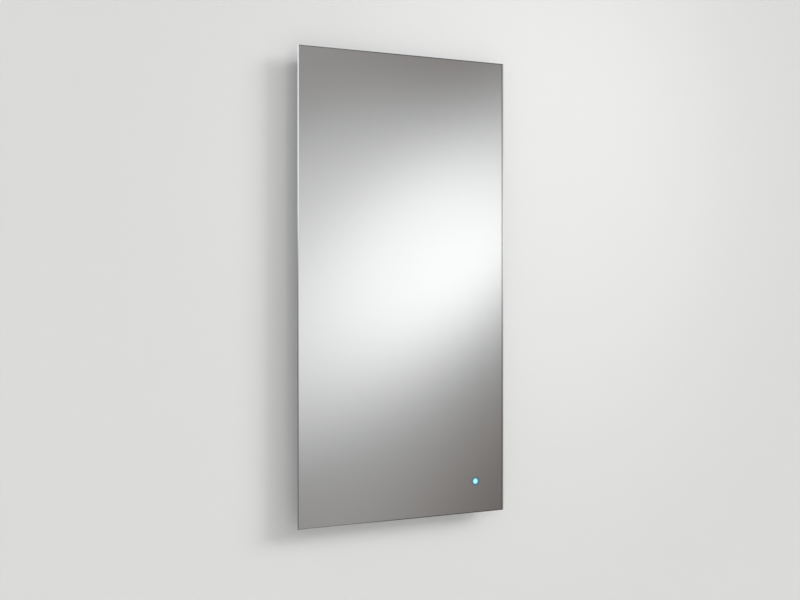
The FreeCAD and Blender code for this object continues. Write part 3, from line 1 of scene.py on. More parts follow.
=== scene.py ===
# %% [markdown]
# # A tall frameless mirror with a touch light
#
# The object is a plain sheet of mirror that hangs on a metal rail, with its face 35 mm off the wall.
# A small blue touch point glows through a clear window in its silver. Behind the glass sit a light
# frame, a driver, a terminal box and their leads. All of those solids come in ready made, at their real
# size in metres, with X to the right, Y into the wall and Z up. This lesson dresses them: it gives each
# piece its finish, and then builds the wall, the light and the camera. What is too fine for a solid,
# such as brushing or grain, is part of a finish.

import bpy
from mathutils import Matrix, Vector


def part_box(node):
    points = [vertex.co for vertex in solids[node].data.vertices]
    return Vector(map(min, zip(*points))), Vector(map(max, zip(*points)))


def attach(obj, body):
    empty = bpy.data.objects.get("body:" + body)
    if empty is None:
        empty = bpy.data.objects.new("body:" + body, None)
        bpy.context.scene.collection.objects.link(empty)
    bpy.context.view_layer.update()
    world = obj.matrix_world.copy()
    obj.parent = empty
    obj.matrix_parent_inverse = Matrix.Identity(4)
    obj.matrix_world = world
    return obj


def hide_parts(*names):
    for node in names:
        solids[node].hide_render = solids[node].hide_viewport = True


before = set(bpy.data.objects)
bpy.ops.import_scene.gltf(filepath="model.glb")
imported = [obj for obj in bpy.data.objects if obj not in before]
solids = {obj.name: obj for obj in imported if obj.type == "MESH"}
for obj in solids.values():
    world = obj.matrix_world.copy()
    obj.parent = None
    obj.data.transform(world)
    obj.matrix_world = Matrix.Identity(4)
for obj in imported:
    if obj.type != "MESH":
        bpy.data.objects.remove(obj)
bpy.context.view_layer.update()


def rounded(place, digits=3):
    """Coordinates in metres, short enough to print."""
    return tuple(round(v, digits) for v in place)


# %% [markdown]
# ## The camera
#
# The photograph shows the glass from the left, about 28 degrees off square, with its upright edges
# parallel. A camera that is tipped up or down would draw them towards each other, so this one looks level.
# The four corners of the glass also give the distance and the lens: at 2.7 metres a lens of 57 mm draws
# the glass at the size it has in the picture. The lens is shifted down, because the horizon lies just
# above the middle of the picture, and sideways by a fraction of a pixel, to land on the glass's edges.

# %% Set up the camera
import bpy
import math

glass_low, glass_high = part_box("mirror_glass")
glass_middle = (glass_low + glass_high) / 2
VIEW_TURN = math.radians(28.15)

camera_data = bpy.data.cameras.new("camera")
camera_data.lens = 57.24
camera_data.sensor_width = 36.0
camera_data.shift_x = -0.0002
camera_data.shift_y = -0.022
camera = bpy.data.objects.new("camera", camera_data)
camera.location = (-1.300, -2.441, glass_middle.z + 0.010)
camera.rotation_euler = (math.pi / 2, 0, -VIEW_TURN)
bpy.context.scene.collection.objects.link(camera)
bpy.context.scene.camera = camera
print("camera stands", round((camera.location - glass_middle).length, 2), "m from the glass")

# %% [markdown]
# ## How a finish is made here
#
# A finish starts from one shader with its plain values set on it. What varies over the surface, such as
# grain, dust or brushing, comes from noise that is read at the object's own coordinates, so its scale is
# a real one: a noise scale of 1000 gives grain about a millimetre across. A long list of nodes for each
# finish would be hard to read, so a few small helpers name what is done: start a finish, add a node, join
# two sockets, and let a pattern steer the colour, the roughness or the height of the surface.

# %% Helpers that build a finish
from mathutils import Vector


def start_finish(name, colour, roughness, metallic=0.0, **sockets):
    """A new material with one shader. Further sockets are named with underscores for spaces."""
    finish = bpy.data.materials.new(name)
    finish.use_nodes = True
    shader = finish.node_tree.nodes["Principled BSDF"]
    shader.inputs["Base Color"].default_value = (*colour, 1.0)
    shader.inputs["Roughness"].default_value = roughness
    shader.inputs["Metallic"].default_value = metallic
    for socket, value in sockets.items():
        shader.inputs[socket.replace("_", " ")].default_value = value
    return finish


def shader_socket(finish, name):
    """A socket of the finish's one shader."""
    return finish.node_tree.nodes["Principled BSDF"].inputs[name]


def surface_socket(finish):
    """Where the whole look of a finish comes together."""
    return finish.node_tree.nodes["Material Output"].inputs["Surface"]


def add_node(finish, kind, **settings):
    """A further node. A setting is one of its sockets, or else one of its own choices."""
    made = finish.node_tree.nodes.new("ShaderNode" + kind)
    for key, value in settings.items():
        if key in made.inputs:
            made.inputs[key].default_value = value
        else:
            setattr(made, key, value)
    return made


def join(finish, source, target):
    """Feeds one socket from another."""
    finish.node_tree.links.new(source, target)


# %% Helpers for patterns in real sizes
NOISE_LOW = 0.3  # most of a noise lies between these two
NOISE_HIGH = 0.7


def place_in_metres(finish, stretch=(1, 1, 1)):
    """Where the shaded point is, in metres, squeezed or stretched along each axis."""
    where = add_node(finish, "TexCoord")
    scaled = add_node(finish, "Mapping", vector_type="POINT")
    scaled.inputs["Scale"].default_value = stretch
    join(finish, where.outputs["Object"], scaled.inputs["Vector"])
    return scaled.outputs["Vector"]


def noise_at(finish, where, scale, detail=2.0, roughness=0.5):
    """A cloudy pattern. One over its scale is the size of its clouds in metres."""
    noise = add_node(finish, "TexNoise", Scale=scale, Detail=detail, Roughness=roughness)
    join(finish, where, noise.inputs["Vector"])
    return noise.outputs["Fac"]


def spread(finish, value, low, high):
    """Maps the range that most of a noise lies in onto another range."""
    scale = add_node(finish, "MapRange")
    limits = {"From Min": NOISE_LOW, "From Max": NOISE_HIGH, "To Min": low, "To Max": high}
    for socket, number in limits.items():
        scale.inputs[socket].default_value = number
    join(finish, value, scale.inputs["Value"])
    return scale.outputs["Result"]


def two_tone(finish, value, dark, light):
    """Lets a pattern run between two colours."""
    ramp = add_node(finish, "ValToRGB")
    ramp.color_ramp.elements[0].color = (*dark, 1)
    ramp.color_ramp.elements[0].position = NOISE_LOW
    ramp.color_ramp.elements[1].color = (*light, 1)
    ramp.color_ramp.elements[1].position = NOISE_HIGH
    join(finish, value, ramp.inputs["Fac"])
    join(finish, ramp.outputs["Color"], shader_socket(finish, "Base Color"))


def add_bump(finish, height, strength, depth):
    """Raises the surface by a pattern. The depth is in metres."""
    bump = add_node(finish, "Bump", Strength=strength, Distance=depth)
    join(finish, height, bump.inputs["Height"])
    join(finish, bump.outputs["Normal"], shader_socket(finish, "Normal"))


def vary_roughness(finish, value, low, high):
    """Lets a pattern run between two roughnesses."""
    join(finish, spread(finish, value, low, high), shader_socket(finish, "Roughness"))


# %% Helpers that put a finish on a piece
def take_finishes(piece, *finishes):
    """Gives a piece its list of finishes. Its faces then choose from the list by number."""
    piece.data.materials.clear()
    for finish in finishes:
        piece.data.materials.append(finish)


def dress(finish, *names):
    """Gives solids one finish all over."""
    for name in names:
        take_finishes(solids[name], finish)
    print(finish.name, "on", ", ".join(names))


def names_with(start="", end=""):
    """The names of the solids that start and end with these words."""
    return [name for name in solids if name.startswith(start) and name.endswith(end)]


def shades(base, amount):
    """A darker and a lighter shade of a colour."""
    return tuple(c * (1 - amount) for c in base), tuple(min(1, c * (1 + amount)) for c in base)


# %% [markdown]
# ## The glass
#
# The mirror is 5 mm float glass. It could be one shiny slab, but the real one shows depth: a faint second
# image from the front surface, and a clear round window where the touch point shines through. So the glass
# stays glass, and the shine comes from a thin sheet of silver behind it.
#
# The four sides and the small bevels round the front, called arrises, are ground and polished. There the
# light has come a long way through the sheet, and it leaves pale and a little green, so they get a bright
# finish of their own. The arrises at the back stay clear. A bright finish there would shut the light in,
# and draw a dark line along the edge of the mirror.

# %% Clear glass and its polished edges
clear_glass = start_finish("clear_glass", (0.985, 0.995, 0.99), 0.0, IOR=1.52, Transmission_Weight=1.0)
where = place_in_metres(clear_glass)
waves = noise_at(clear_glass, where, 3.0, 1.0)
add_bump(clear_glass, waves, 0.02, 0.0002)

polished_edge = start_finish("polished_edge", (0.91, 0.94, 0.93), 0.05, metallic=1.0)
where = place_in_metres(polished_edge)
vary_roughness(polished_edge, noise_at(polished_edge, where, 400.0), 0.02, 0.08)
two_tone(polished_edge, noise_at(polished_edge, where, 8.0, 4.0), (0.87, 0.915, 0.90), (0.93, 0.955, 0.945))

glass = solids["mirror_glass"]
take_finishes(glass, clear_glass, polished_edge)
for face in glass.data.polygons:
    is_front = face.normal.y < -0.9
    is_back_or_its_arris = face.normal.y > 0.5
    face.material_index = 0 if is_front or is_back_or_its_arris else 1
print(sum(face.material_index for face in glass.data.polygons), "facets of the glass are edge")

# %% [markdown]
# ## The silver
#
# Silver is laid on the back of the glass as a film far thinner than a hair, and painted over, so from
# behind it isn't bright but grey. Here it is a thin solid that touches the glass. Two faces in exactly one
# plane would fight for each ray of light, so a copy of it is made, with its bright face a twentieth of a
# millimetre inside the glass. The copy takes the place of the solid, and moves with the mirror.

# %% The silver sheet
SINK = 0.00005  # how far the bright face lies inside the glass
SHEET_BACK = 0.00008  # how far the painted face lies behind it

silver = start_finish("silver", (0.93, 0.935, 0.93), 0.015, metallic=1.0)
where = place_in_metres(silver)
vary_roughness(silver, noise_at(silver, where, 6.0, 3.0), 0.010, 0.022)

backing_paint = start_finish("backing_paint", (0.18, 0.20, 0.21), 0.5)
where = place_in_metres(backing_paint)
two_tone(backing_paint, noise_at(backing_paint, where, 60.0, 4.0), (0.15, 0.17, 0.18), (0.20, 0.22, 0.23))
add_bump(backing_paint, noise_at(backing_paint, where, 900.0), 0.3, 0.0001)

silver_sheet = bpy.data.objects.new("silver_sheet", solids["silver_layer"].data.copy())
bpy.context.scene.collection.objects.link(silver_sheet)
silver_low, silver_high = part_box("silver_layer")
silver_middle = (silver_low.y + silver_high.y) / 2
for corner in silver_sheet.data.vertices:
    is_bright_side = corner.co.y < silver_middle
    corner.co.y = silver_low.y - SINK if is_bright_side else silver_low.y + SHEET_BACK
take_finishes(silver_sheet, silver, backing_paint)
for face in silver_sheet.data.polygons:
    face.material_index = 0 if face.normal.y < -0.5 else 1
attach(silver_sheet, "mirror")
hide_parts("silver_layer")
print("the bright face lies", 1000 * SINK, "mm inside the glass")

# %% [markdown]
# ## The back of the mirror
#
# If the glass breaks, a plastic film glued over the paint holds the pieces. Such film has a woven
# reinforcement that shows as a fine square grid, and it never lies quite flat. A grid could be modelled
# thread by thread, but at a millimetre and a half between threads it is a texture: two sets of straight
# waves that cross, with a slow noise for the places where the film has puckered.

# %% Safety film
THREAD_WAVES = 210.0
PUCKER_HEIGHT = 4.0  # against the height of a thread

film = start_finish("safety_film", (0.31, 0.34, 0.355), 0.38)
where = place_in_metres(film)
threads = []
for direction in ("X", "Z"):
    wave = add_node(film, "TexWave", bands_direction=direction, Scale=THREAD_WAVES, Distortion=0.3)
    join(film, where, wave.inputs["Vector"])
    threads.append(wave.outputs["Fac"])
grid = add_node(film, "Math", operation="MAXIMUM")
join(film, threads[0], grid.inputs[0])
join(film, threads[1], grid.inputs[1])
pucker = noise_at(film, where, 9.0, 2.0)
height = add_node(film, "Math", operation="MULTIPLY_ADD")
height.inputs[1].default_value = PUCKER_HEIGHT
join(film, pucker, height.inputs[0])
join(film, grid.outputs[0], height.inputs[2])
add_bump(film, height.outputs[0], 0.35, 0.00015)
two_tone(film, noise_at(film, where, 40.0, 5.0), (0.295, 0.325, 0.34), (0.325, 0.355, 0.37))
dress(film, "safety_film")
print("its threads lie", round(1000 * 2 * math.pi / (20 * THREAD_WAVES), 2), "mm apart")

# %% [markdown]
# ## The touch point
#
# A small board behind the window lights a disc of clear plastic. On the glass this shows as a glowing
# cyan spot as wide as a fingertip, and round it a ring of the dark housing that catches some of the glow.
# The disc could be a lamp, but it isn't meant to light the room: a face that glows a little, brighter
# in its middle, is closer. The ring's faint light is painted the same way: a glow on the dark housing
# that stands in for the disc's light falling on it.

# %% Measure the touch point
disc_low, disc_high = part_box("sensor_disc")
touch_point = (disc_low + disc_high) / 2
disc_radius = (disc_high.x - disc_low.x) / 2
print("touch point at", rounded(touch_point, 4), "disc", round(2000 * disc_radius, 1), "mm")

# %% A glow that fades with the distance from the touch point
RAMP_REACH = 2.0  # in disc radii


def distance_from_touch(finish):
    """How far a point lies from the axis of the touch point, in disc radii."""
    where = add_node(finish, "TexCoord")
    moved = add_node(finish, "Mapping", vector_type="POINT")
    moved.inputs["Location"].default_value = (-touch_point.x / disc_radius, 0, -touch_point.z / disc_radius)
    moved.inputs["Scale"].default_value = (1 / disc_radius, 0, 1 / disc_radius)
    join(finish, where.outputs["Object"], moved.inputs["Vector"])
    length = add_node(finish, "VectorMath", operation="LENGTH")
    join(finish, moved.outputs["Vector"], length.inputs[0])
    return length.outputs["Value"]


def glow(finish, stops, strength):
    """Each stop is a distance, as a share of the ramp's reach of two disc radii, and a colour."""
    ramp = add_node(finish, "ValToRGB")
    share = add_node(finish, "Math", operation="MULTIPLY")
    share.inputs[1].default_value = 1 / RAMP_REACH
    join(finish, distance_from_touch(finish), share.inputs[0])
    join(finish, share.outputs[0], ramp.inputs["Fac"])
    elements = ramp.color_ramp.elements
    for element, (position, colour) in zip(elements, (stops[0], stops[-1])):
        element.position = position
        element.color = (*colour, 1)
    for position, colour in stops[1:-1]:
        elements.new(position).color = (*colour, 1)
    join(finish, ramp.outputs["Color"], shader_socket(finish, "Emission Color"))
    shader_socket(finish, "Emission Strength").default_value = strength


# %% The light disc
light_disc = start_finish("light_disc", (0.30, 0.62, 0.68), 0.3, IOR=1.49)
glow(light_disc, [(0.0, (0.54, 1.0, 1.0)), (0.30, (0.42, 0.95, 1.0)), (0.42, (0.24, 0.60, 0.74)),
                  (0.5, (0.10, 0.27, 0.36))], 1.0)
where = place_in_metres(light_disc)
vary_roughness(light_disc, noise_at(light_disc, where, 1500.0), 0.25, 0.4)
dress(light_disc, "sensor_disc")

# %% The dark case and cover behind it
sensor_case = start_finish("sensor_case", (0.055, 0.065, 0.075), 0.5)
# the emission on the housing is painted light: the disc's cyan glow falling on the dark ring round it
glow(sensor_case, [(0.5, (0.10, 0.25, 0.34)), (0.62, (0.08, 0.19, 0.26)), (0.78, (0.10, 0.14, 0.17)),
                   (0.9, (0.0, 0.0, 0.0))], 0.8)
where = place_in_metres(sensor_case)
add_bump(sensor_case, noise_at(sensor_case, where, 2500.0, 3.0), 0.25, 0.0001)
vary_roughness(sensor_case, noise_at(sensor_case, where, 120.0, 3.0), 0.42, 0.6)
dress(sensor_case, "sensor_housing")

cover_plastic = start_finish("cover_plastic", (0.055, 0.06, 0.065), 0.5)
where = place_in_metres(cover_plastic)
add_bump(cover_plastic, noise_at(cover_plastic, where, 2500.0, 3.0), 0.25, 0.0001)
two_tone(cover_plastic, noise_at(cover_plastic, where, 90.0, 4.0), (0.045, 0.05, 0.055), (0.065, 0.07, 0.078))
dress(cover_plastic, "sensor_cover")

# %% Its circuit board
circuit_green = start_finish("circuit_green", (0.03, 0.16, 0.07), 0.35, Coat_Weight=0.4)
where = place_in_metres(circuit_green)
tracks = add_node(circuit_green, "TexBrick", Scale=220.0)
join(circuit_green, where, tracks.inputs["Vector"])
two_tone(circuit_green, tracks.outputs["Fac"], (0.025, 0.13, 0.055), (0.05, 0.24, 0.10))
dress(circuit_green, "sensor_board")

# %% [markdown]
# ## Aluminium
#
# The light frame is extruded aluminium with a satin anodised skin. The die draws fine lines along each
# length, so the brushing has to follow the piece: along X in the top and bottom sections, along Z in the
# two sides. A noise that is stretched along the piece and packed tight across it gives exactly that. The
# wall rail and hook are left as they come from the mill and look duller, and the corner keys are rough
# castings, with a coarse grain in place of lines.

# %% Metal with fine lines
LINE_SQUEEZE = 0.02  # makes lines fifty times as long as they are wide


def drawn_metal(name, along, base, low, high, depth):
    """Metal with lines along X or Z. Low and high are the limits of its roughness."""
    finish = start_finish(name, base, (low + high) / 2, metallic=1.0)
    stretch = (LINE_SQUEEZE, 1, 1) if along == "X" else (1, 1, LINE_SQUEEZE)
    where = place_in_metres(finish, stretch)
    lines = noise_at(finish, where, 1800.0, 3.0, 0.6)
    two_tone(finish, lines, *shades(base, 0.06))
    clouds = noise_at(finish, place_in_metres(finish), 25.0, 1.0)
    vary_roughness(finish, clouds, low, high)
    add_bump(finish, lines, 0.3, depth)
    return finish


# %% Frame, rail and hook
ANODISED = (0.70, 0.71, 0.72)
anodised_across = drawn_metal("anodised_across", "X", ANODISED, 0.26, 0.40, 0.00003)
anodised_upright = drawn_metal("anodised_upright", "Z", ANODISED, 0.26, 0.40, 0.00003)
mill_finish = drawn_metal("mill_finish", "X", (0.62, 0.63, 0.64), 0.34, 0.52, 0.00005)
dress(anodised_across, "frame_top", "frame_bottom")
dress(anodised_upright, "frame_left", "frame_right")
dress(mill_finish, "wall_rail", "hang_cleat")

# %% Cast corner keys
cast_metal = start_finish("cast_metal", (0.45, 0.46, 0.47), 0.55, metallic=1.0)
where = place_in_metres(cast_metal)
two_tone(cast_metal, noise_at(cast_metal, where, 300.0, 4.0), (0.38, 0.39, 0.40), (0.50, 0.51, 0.52))
add_bump(cast_metal, noise_at(cast_metal, where, 1200.0, 3.0), 0.5, 0.0001)
dress(cast_metal, *names_with("corner_key"))

# %% [markdown]
# ## Galvanised sheet and screws
#
# The tray is folded from galvanised sheet, whose zinc freezes in flat crystals some millimetres wide. A
# picture of them would show its seams. A pattern of cells, each with a grey of its own, has none, and
# bending the place where it is read gives the crystals their crooked edges. The screws are plated with
# zinc too, but in a bath, which leaves it fine and even.

# %% Galvanised tray
BEND = 0.003  # metres that the edge of a crystal strays

galvanised = start_finish("galvanised", (0.60, 0.62, 0.63), 0.38, metallic=1.0)
where = place_in_metres(galvanised)
crystals = add_node(galvanised, "TexVoronoi", feature="F1", Scale=150.0)
bent = add_node(galvanised, "TexNoise", Scale=60.0, Detail=2.0)
join(galvanised, where, bent.inputs["Vector"])
shifted = add_node(galvanised, "VectorMath", operation="MULTIPLY_ADD")
shifted.inputs[1].default_value = (BEND, BEND, BEND)
join(galvanised, bent.outputs["Color"], shifted.inputs[0])
join(galvanised, where, shifted.inputs[2])
join(galvanised, shifted.outputs["Vector"], crystals.inputs["Vector"])
grey = add_node(galvanised, "RGBToBW")
join(galvanised, crystals.outputs["Color"], grey.inputs["Color"])
two_tone(galvanised, grey.outputs["Val"], (0.56, 0.575, 0.59), (0.64, 0.655, 0.67))
vary_roughness(galvanised, grey.outputs["Val"], 0.34, 0.42)
dress(galvanised, "electrics_tray")

# %% Zinc plated screws
zinc_plate = start_finish("zinc_plate", (0.60, 0.61, 0.62), 0.3, metallic=1.0)
where = place_in_metres(zinc_plate)
two_tone(zinc_plate, noise_at(zinc_plate, where, 700.0, 3.0), (0.50, 0.51, 0.52), (0.68, 0.69, 0.70))
vary_roughness(zinc_plate, noise_at(zinc_plate, where, 1500.0, 3.0), 0.22, 0.42)
dress(zinc_plate, *names_with(end="_screws"))

# %% [markdown]
# ## Moulded plastics
#
# Moulded cases are never mirror smooth: the mould is etched with a fine grain, which the light shows as a
# soft sheen. It could be modelled, but noise of about half a millimetre, raised by a tenth, is enough. One
# helper makes all of them, because they differ only in colour, gloss and grain. The opal covers of the
# light frame also let some light through.

# %% Plastic with the grain of its mould
def moulded(name, base, roughness, grain=2200.0, depth=0.0001, **sockets):
    """Plastic from an etched mould, with a slight change of shade over the piece."""
    finish = start_finish(name, base, roughness, **sockets)
    where = place_in_metres(finish)
    two_tone(finish, noise_at(finish, where, 45.0, 4.0), *shades(base, 0.04))
    vary_roughness(finish, noise_at(finish, where, 150.0, 3.0), roughness - 0.07, roughness + 0.07)
    add_bump(finish, noise_at(finish, where, grain, 3.0), 0.3, depth)
    return finish


# %% Cases, gland and clips
dress(moulded("driver_plastic", (0.80, 0.80, 0.77), 0.42), "led_driver")
dress(moulded("box_plastic", (0.50, 0.53, 0.55), 0.46), "terminal_box", "terminal_lid")
dress(moulded("terminal_plastic", (0.74, 0.70, 0.56), 0.4), "terminal_block")
dress(moulded("gland_plastic", (0.035, 0.037, 0.04), 0.38), "cable_gland", "gland_cap", "gland_nut")
dress(moulded("clip_plastic", (0.78, 0.78, 0.75), 0.35, grain=3500.0, depth=0.00004), "lead_clips")
opal = moulded("opal_cover", (0.86, 0.87, 0.86), 0.45, Transmission_Weight=0.25, IOR=1.49)
dress(opal, *names_with("diffuser"))

# %% [markdown]
# ## Rubber, foam and leads
#
# Rubber is nearly black and dull, with a coarser grain than plastic. The foam of the bonding tape is full
# of tiny bubbles, which show at its edges, and a pattern of cells draws them. The sheath of a lead comes
# smooth out of a nozzle. So rubber and sheaths are plastics with another grain, and only the foam is new.

# %% Rubber and sheaths
rubber = moulded("rubber", (0.028, 0.028, 0.028), 0.75, grain=1200.0)
dress(rubber, "bumper_left", "bumper_right", "box_grommet", "strip_grommet")
dress(moulded("white_sheath", (0.72, 0.72, 0.69), 0.36, grain=600.0, depth=0.00005), "supply_lead")
black_sheath = moulded("black_sheath", (0.03, 0.03, 0.033), 0.36, grain=600.0, depth=0.00005)
dress(black_sheath, "driver_lead", "strip_lead")

# %% Foam tape
foam = start_finish("foam_tape", (0.66, 0.66, 0.63), 0.8)
where = place_in_metres(foam)
cells = add_node(foam, "TexVoronoi", feature="F1", Scale=1800.0)
join(foam, where, cells.inputs["Vector"])
two_tone(foam, cells.outputs["Distance"], (0.58, 0.58, 0.55), (0.70, 0.70, 0.67))
add_bump(foam, cells.outputs["Distance"], 0.5, 0.0002)
dress(foam, "sensor_pad", *names_with("bond_tape"))

# %% [markdown]
# ## The light strips
#
# Each strip is a white flexible circuit with a row of LEDs. It is seen only through the opal cover, yet
# the yellow face of each LED does show as a warm dot when one looks closely. The LEDs could be pieces of
# their own, but they are soldered to the circuit for good, so strip and LEDs are one solid with two
# finishes. A facet that looks out of the frame and lies further out than the circuit belongs to an LED.

# %% White circuit and yellow LED faces
circuit_white = start_finish("circuit_white", (0.80, 0.79, 0.74), 0.34, Coat_Weight=0.25)
where = place_in_metres(circuit_white)
two_tone(circuit_white, noise_at(circuit_white, where, 260.0, 3.0), (0.76, 0.75, 0.70), (0.84, 0.83, 0.79))
phosphor = start_finish("led_phosphor", (0.80, 0.62, 0.12), 0.5, Subsurface_Weight=0.3)
where = place_in_metres(phosphor)
two_tone(phosphor, noise_at(phosphor, where, 2600.0, 3.0), (0.74, 0.55, 0.09), (0.86, 0.69, 0.17))

# %% Sort the faces of the strips
FACE_DEPTH = 0.0002  # an LED's face lies within this of the furthest point

outwards = {"top": Vector((0, 0, 1)), "bottom": Vector((0, 0, -1)),
            "left": Vector((-1, 0, 0)), "right": Vector((1, 0, 0))}
for side, out in outwards.items():
    strip = solids["led_strip_" + side]
    take_finishes(strip, circuit_white, phosphor)
    furthest = max(corner.co.dot(out) for corner in strip.data.vertices)
    count = 0
    for face in strip.data.polygons:
        if face.normal.dot(out) > 0.9 and face.center.dot(out) > furthest - FACE_DEPTH:
            face.material_index = 1
            count += 1
    print("strip", side, "has", count, "facets of LED faces")
dress(circuit_white, *names_with("strip_link"))

# %% [markdown]
# ## The wall and the floor
#
# The mirror hangs on a plain pale wall, painted with a roller that leaves the faintest relief. The wall
# is only a backdrop: it catches light and shadow for the camera. From behind it is see-through, so that
# the back of the object can be looked at, and no reflection shows it. It stands a hair behind the rail,
# because two faces in one plane would fight for the light.

# %% Paint of the wall and the floor
wall_paint = start_finish("wall_paint", (0.80, 0.80, 0.795), 0.85)
where = place_in_metres(wall_paint)
two_tone(wall_paint, noise_at(wall_paint, where, 1.2, 3.0), (0.795, 0.795, 0.79), (0.805, 0.805, 0.80))
add_bump(wall_paint, noise_at(wall_paint, where, 350.0, 3.0), 0.15, 0.0003)
nothing = add_node(wall_paint, "BsdfTransparent")
facing = add_node(wall_paint, "NewGeometry")
either = add_node(wall_paint, "MixShader")
join(wall_paint, facing.outputs["Backfacing"], either.inputs["Fac"])
join(wall_paint, wall_paint.node_tree.nodes["Principled BSDF"].outputs[0], either.inputs[1])
join(wall_paint, nothing.outputs[0], either.inputs[2])
join(wall_paint, either.outputs[0], surface_socket(wall_paint))

floor_paint = start_finish("floor_paint", (0.74, 0.735, 0.72), 0.6)
where = place_in_metres(floor_paint)
two_tone(floor_paint, noise_at(floor_paint, where, 2.0, 3.0), (0.73, 0.725, 0.71), (0.75, 0.745, 0.73))
print("made", wall_paint.name, "and", floor_paint.name)

# %% Build the wall and the floor
LEFT = -5.0
RIGHT = 5.0
FRONT = -6.0
BACK = 6.0
WALL_TOP = 3.2
WALL_GAP = 0.0003  # behind the rail
FLOOR_DROP = 1.0  # from the glass down to the floor


def flat_sheet(name, corners, finish):
    """One flat face through four corners, as part of the stage."""
    mesh = bpy.data.meshes.new(name)
    mesh.from_pydata(corners, [], [(0, 1, 2, 3)])
    mesh.materials.append(finish)
    sheet = bpy.data.objects.new(name, mesh)
    bpy.context.scene.collection.objects.link(sheet)
    return sheet


floor_level = glass_low.z - FLOOR_DROP
wall = flat_sheet("wall", [(LEFT, WALL_GAP, floor_level), (RIGHT, WALL_GAP, floor_level),
                           (RIGHT, WALL_GAP, WALL_TOP), (LEFT, WALL_GAP, WALL_TOP)], wall_paint)
floor = flat_sheet("floor", [(LEFT, FRONT, floor_level), (RIGHT, FRONT, floor_level),
                             (RIGHT, BACK, floor_level), (LEFT, BACK, floor_level)], floor_paint)
for sight in ("visible_diffuse", "visible_glossy", "visible_transmission", "visible_shadow"):
    setattr(wall, sight, False)
floor.visible_glossy = False
floor.visible_transmission = False
print("the floor lies", FLOOR_DROP, "m below the glass")

# %% [markdown]
# ## The tent that the mirror reflects
#
# A mirror has no colour of its own. What the picture shows in it is a bright studio: a tilted patch of
# light with grey round it. Photographers hang such patches in a white tent round the object, and this is
# such a tent, a sphere that only reflections see. Real lamps in front of cloth would give the same
# patches with more noise. Here the glow is worked out for each point of the sphere: a grey cloth, darker
# in front than behind, and on it a few soft patches, each with its own place, size, tilt and edge.

# %% One soft patch of light
import numpy as np


def patch(turn, rise, middle, across, up, tilt, edge):
    """A soft patch of light: 1 in its middle, 0 far from it. All sizes are in degrees."""
    x = (turn - middle[0] + 180) % 360 - 180
    y = rise - middle[1]
    lean = math.radians(tilt)
    along = x * math.cos(lean) + y * math.sin(lean)
    over = y * math.cos(lean) - x * math.sin(lean)
    return np.exp(-((along / across) ** 2 + (over / up) ** 2) ** edge)


# %% The cloth in front and behind
MIDDLE_TURN = 28  # where the camera looks to by way of the mirror
FOOT_RISE = -26
FOOT_GLOW = 0.42
LEFT_STRIP = (-152, 0)
RIGHT_STRIP = (118, 0)


def fade(value):
    """Runs smoothly from 0, well below zero, to 1, well above it."""
    return 1 / (1 + np.exp(-value))


def cloth_glow(points, turn, rise):
    """The plain cloth, without the patches."""
    # in front it is lighter to the left of that turn, and lighter at its foot, which a look from above shows
    past_middle = turn - MIDDLE_TURN
    front = 0.20 - 0.09 * np.tanh(past_middle / 7.5) * np.exp(-(past_middle / 45) ** 2) + 0.11 * points[:, 2]
    front += (FOOT_GLOW - front) * fade((FOOT_RISE - rise) / 3)
    # behind the wall it is lighter towards the top, with one soft light for the metal at the back
    behind = 0.48 + 0.14 * np.tanh(rise / 25) + 0.22 * patch(turn, rise, (165, 25), 40, 14, 0, 1)
    # two upright strips of it are what the polished left side and the arris at the right throw back
    beside_left = 0.55 + 0.42 * np.tanh((rise - 2.5) / 1.5)
    beside_right = 0.16 + 0.95 * np.exp(-((rise - 2.6) / 5) ** 2)
    behind += patch(turn, rise, LEFT_STRIP, 13, 30, 0, 2) * (beside_left - behind)
    behind += patch(turn, rise, RIGHT_STRIP, 13, 30, 0, 2) * (beside_right - behind)
    share = fade(12 * (points[:, 1] - 0.1))
    return front * (1 - share) + behind * share


# %% The glow of the whole tent
# strength, middle as turn and rise, half width, half height, tilt, and how sharp the edge is
PATCHES = [
    (0.38, (30.8, 2.6), 11.5, 5.6, 35, 1.5),  # three that make up the bright patch in the mirror
    (0.31, (23.3, 0.1), 13.0, 8.6, 42, 2.3),
    (0.41, (34.4, 1.8), 4.7, 13.6, -32, 0.7),
    (2.25, (-29, 3.0), 9, 4.9, 0, 1),  # the one that the last strip of glass at the right throws back
    (0.50, (80, 14), 9, 22, 0, 1.2),  # two tall ones at the sides, for arrises and metal
    (0.66, (-62, 10), 9, 17, 0, 2.5),
    (0.60, (0, 75), 60, 18, 0, 1.2),  # one overhead
]


def tent_glow(points):
    """Brightness of the tent at unit vectors from the middle of the glass."""
    turn = np.degrees(np.arctan2(points[:, 0], -points[:, 1]))
    rise = np.degrees(np.arcsin(np.clip(points[:, 2], -1, 1)))
    total = cloth_glow(points, turn, rise)
    for strength, *shape in PATCHES:
        total = total + strength * patch(turn, rise, *shape)
    return total


# %% Build the tent
TENT_RADIUS = 8.0
RINGS = 180
STEPS = 360

around = [(math.pi * i / RINGS, 2 * math.pi * j / STEPS) for i in range(RINGS + 1) for j in range(STEPS)]
unit = np.array([(math.sin(a) * math.cos(b), math.sin(a) * math.sin(b), math.cos(a)) for a, b in around])
faces = []
for i in range(RINGS):
    for j in range(STEPS):
        beside = (j + 1) % STEPS
        faces.append((i * STEPS + j, i * STEPS + beside, (i + 1) * STEPS + beside, (i + 1) * STEPS + j))
tent_mesh = bpy.data.meshes.new("tent")
tent_mesh.from_pydata((unit * TENT_RADIUS + np.array(glass_middle)).tolist(), [], faces)
print("tent of", len(faces), "faces")

# %% Paint the glow on it
WARM_BELOW = 0.4  # darker cloth turns slightly brown
WARM_TINT = np.array([0.12, -0.03, -0.09])

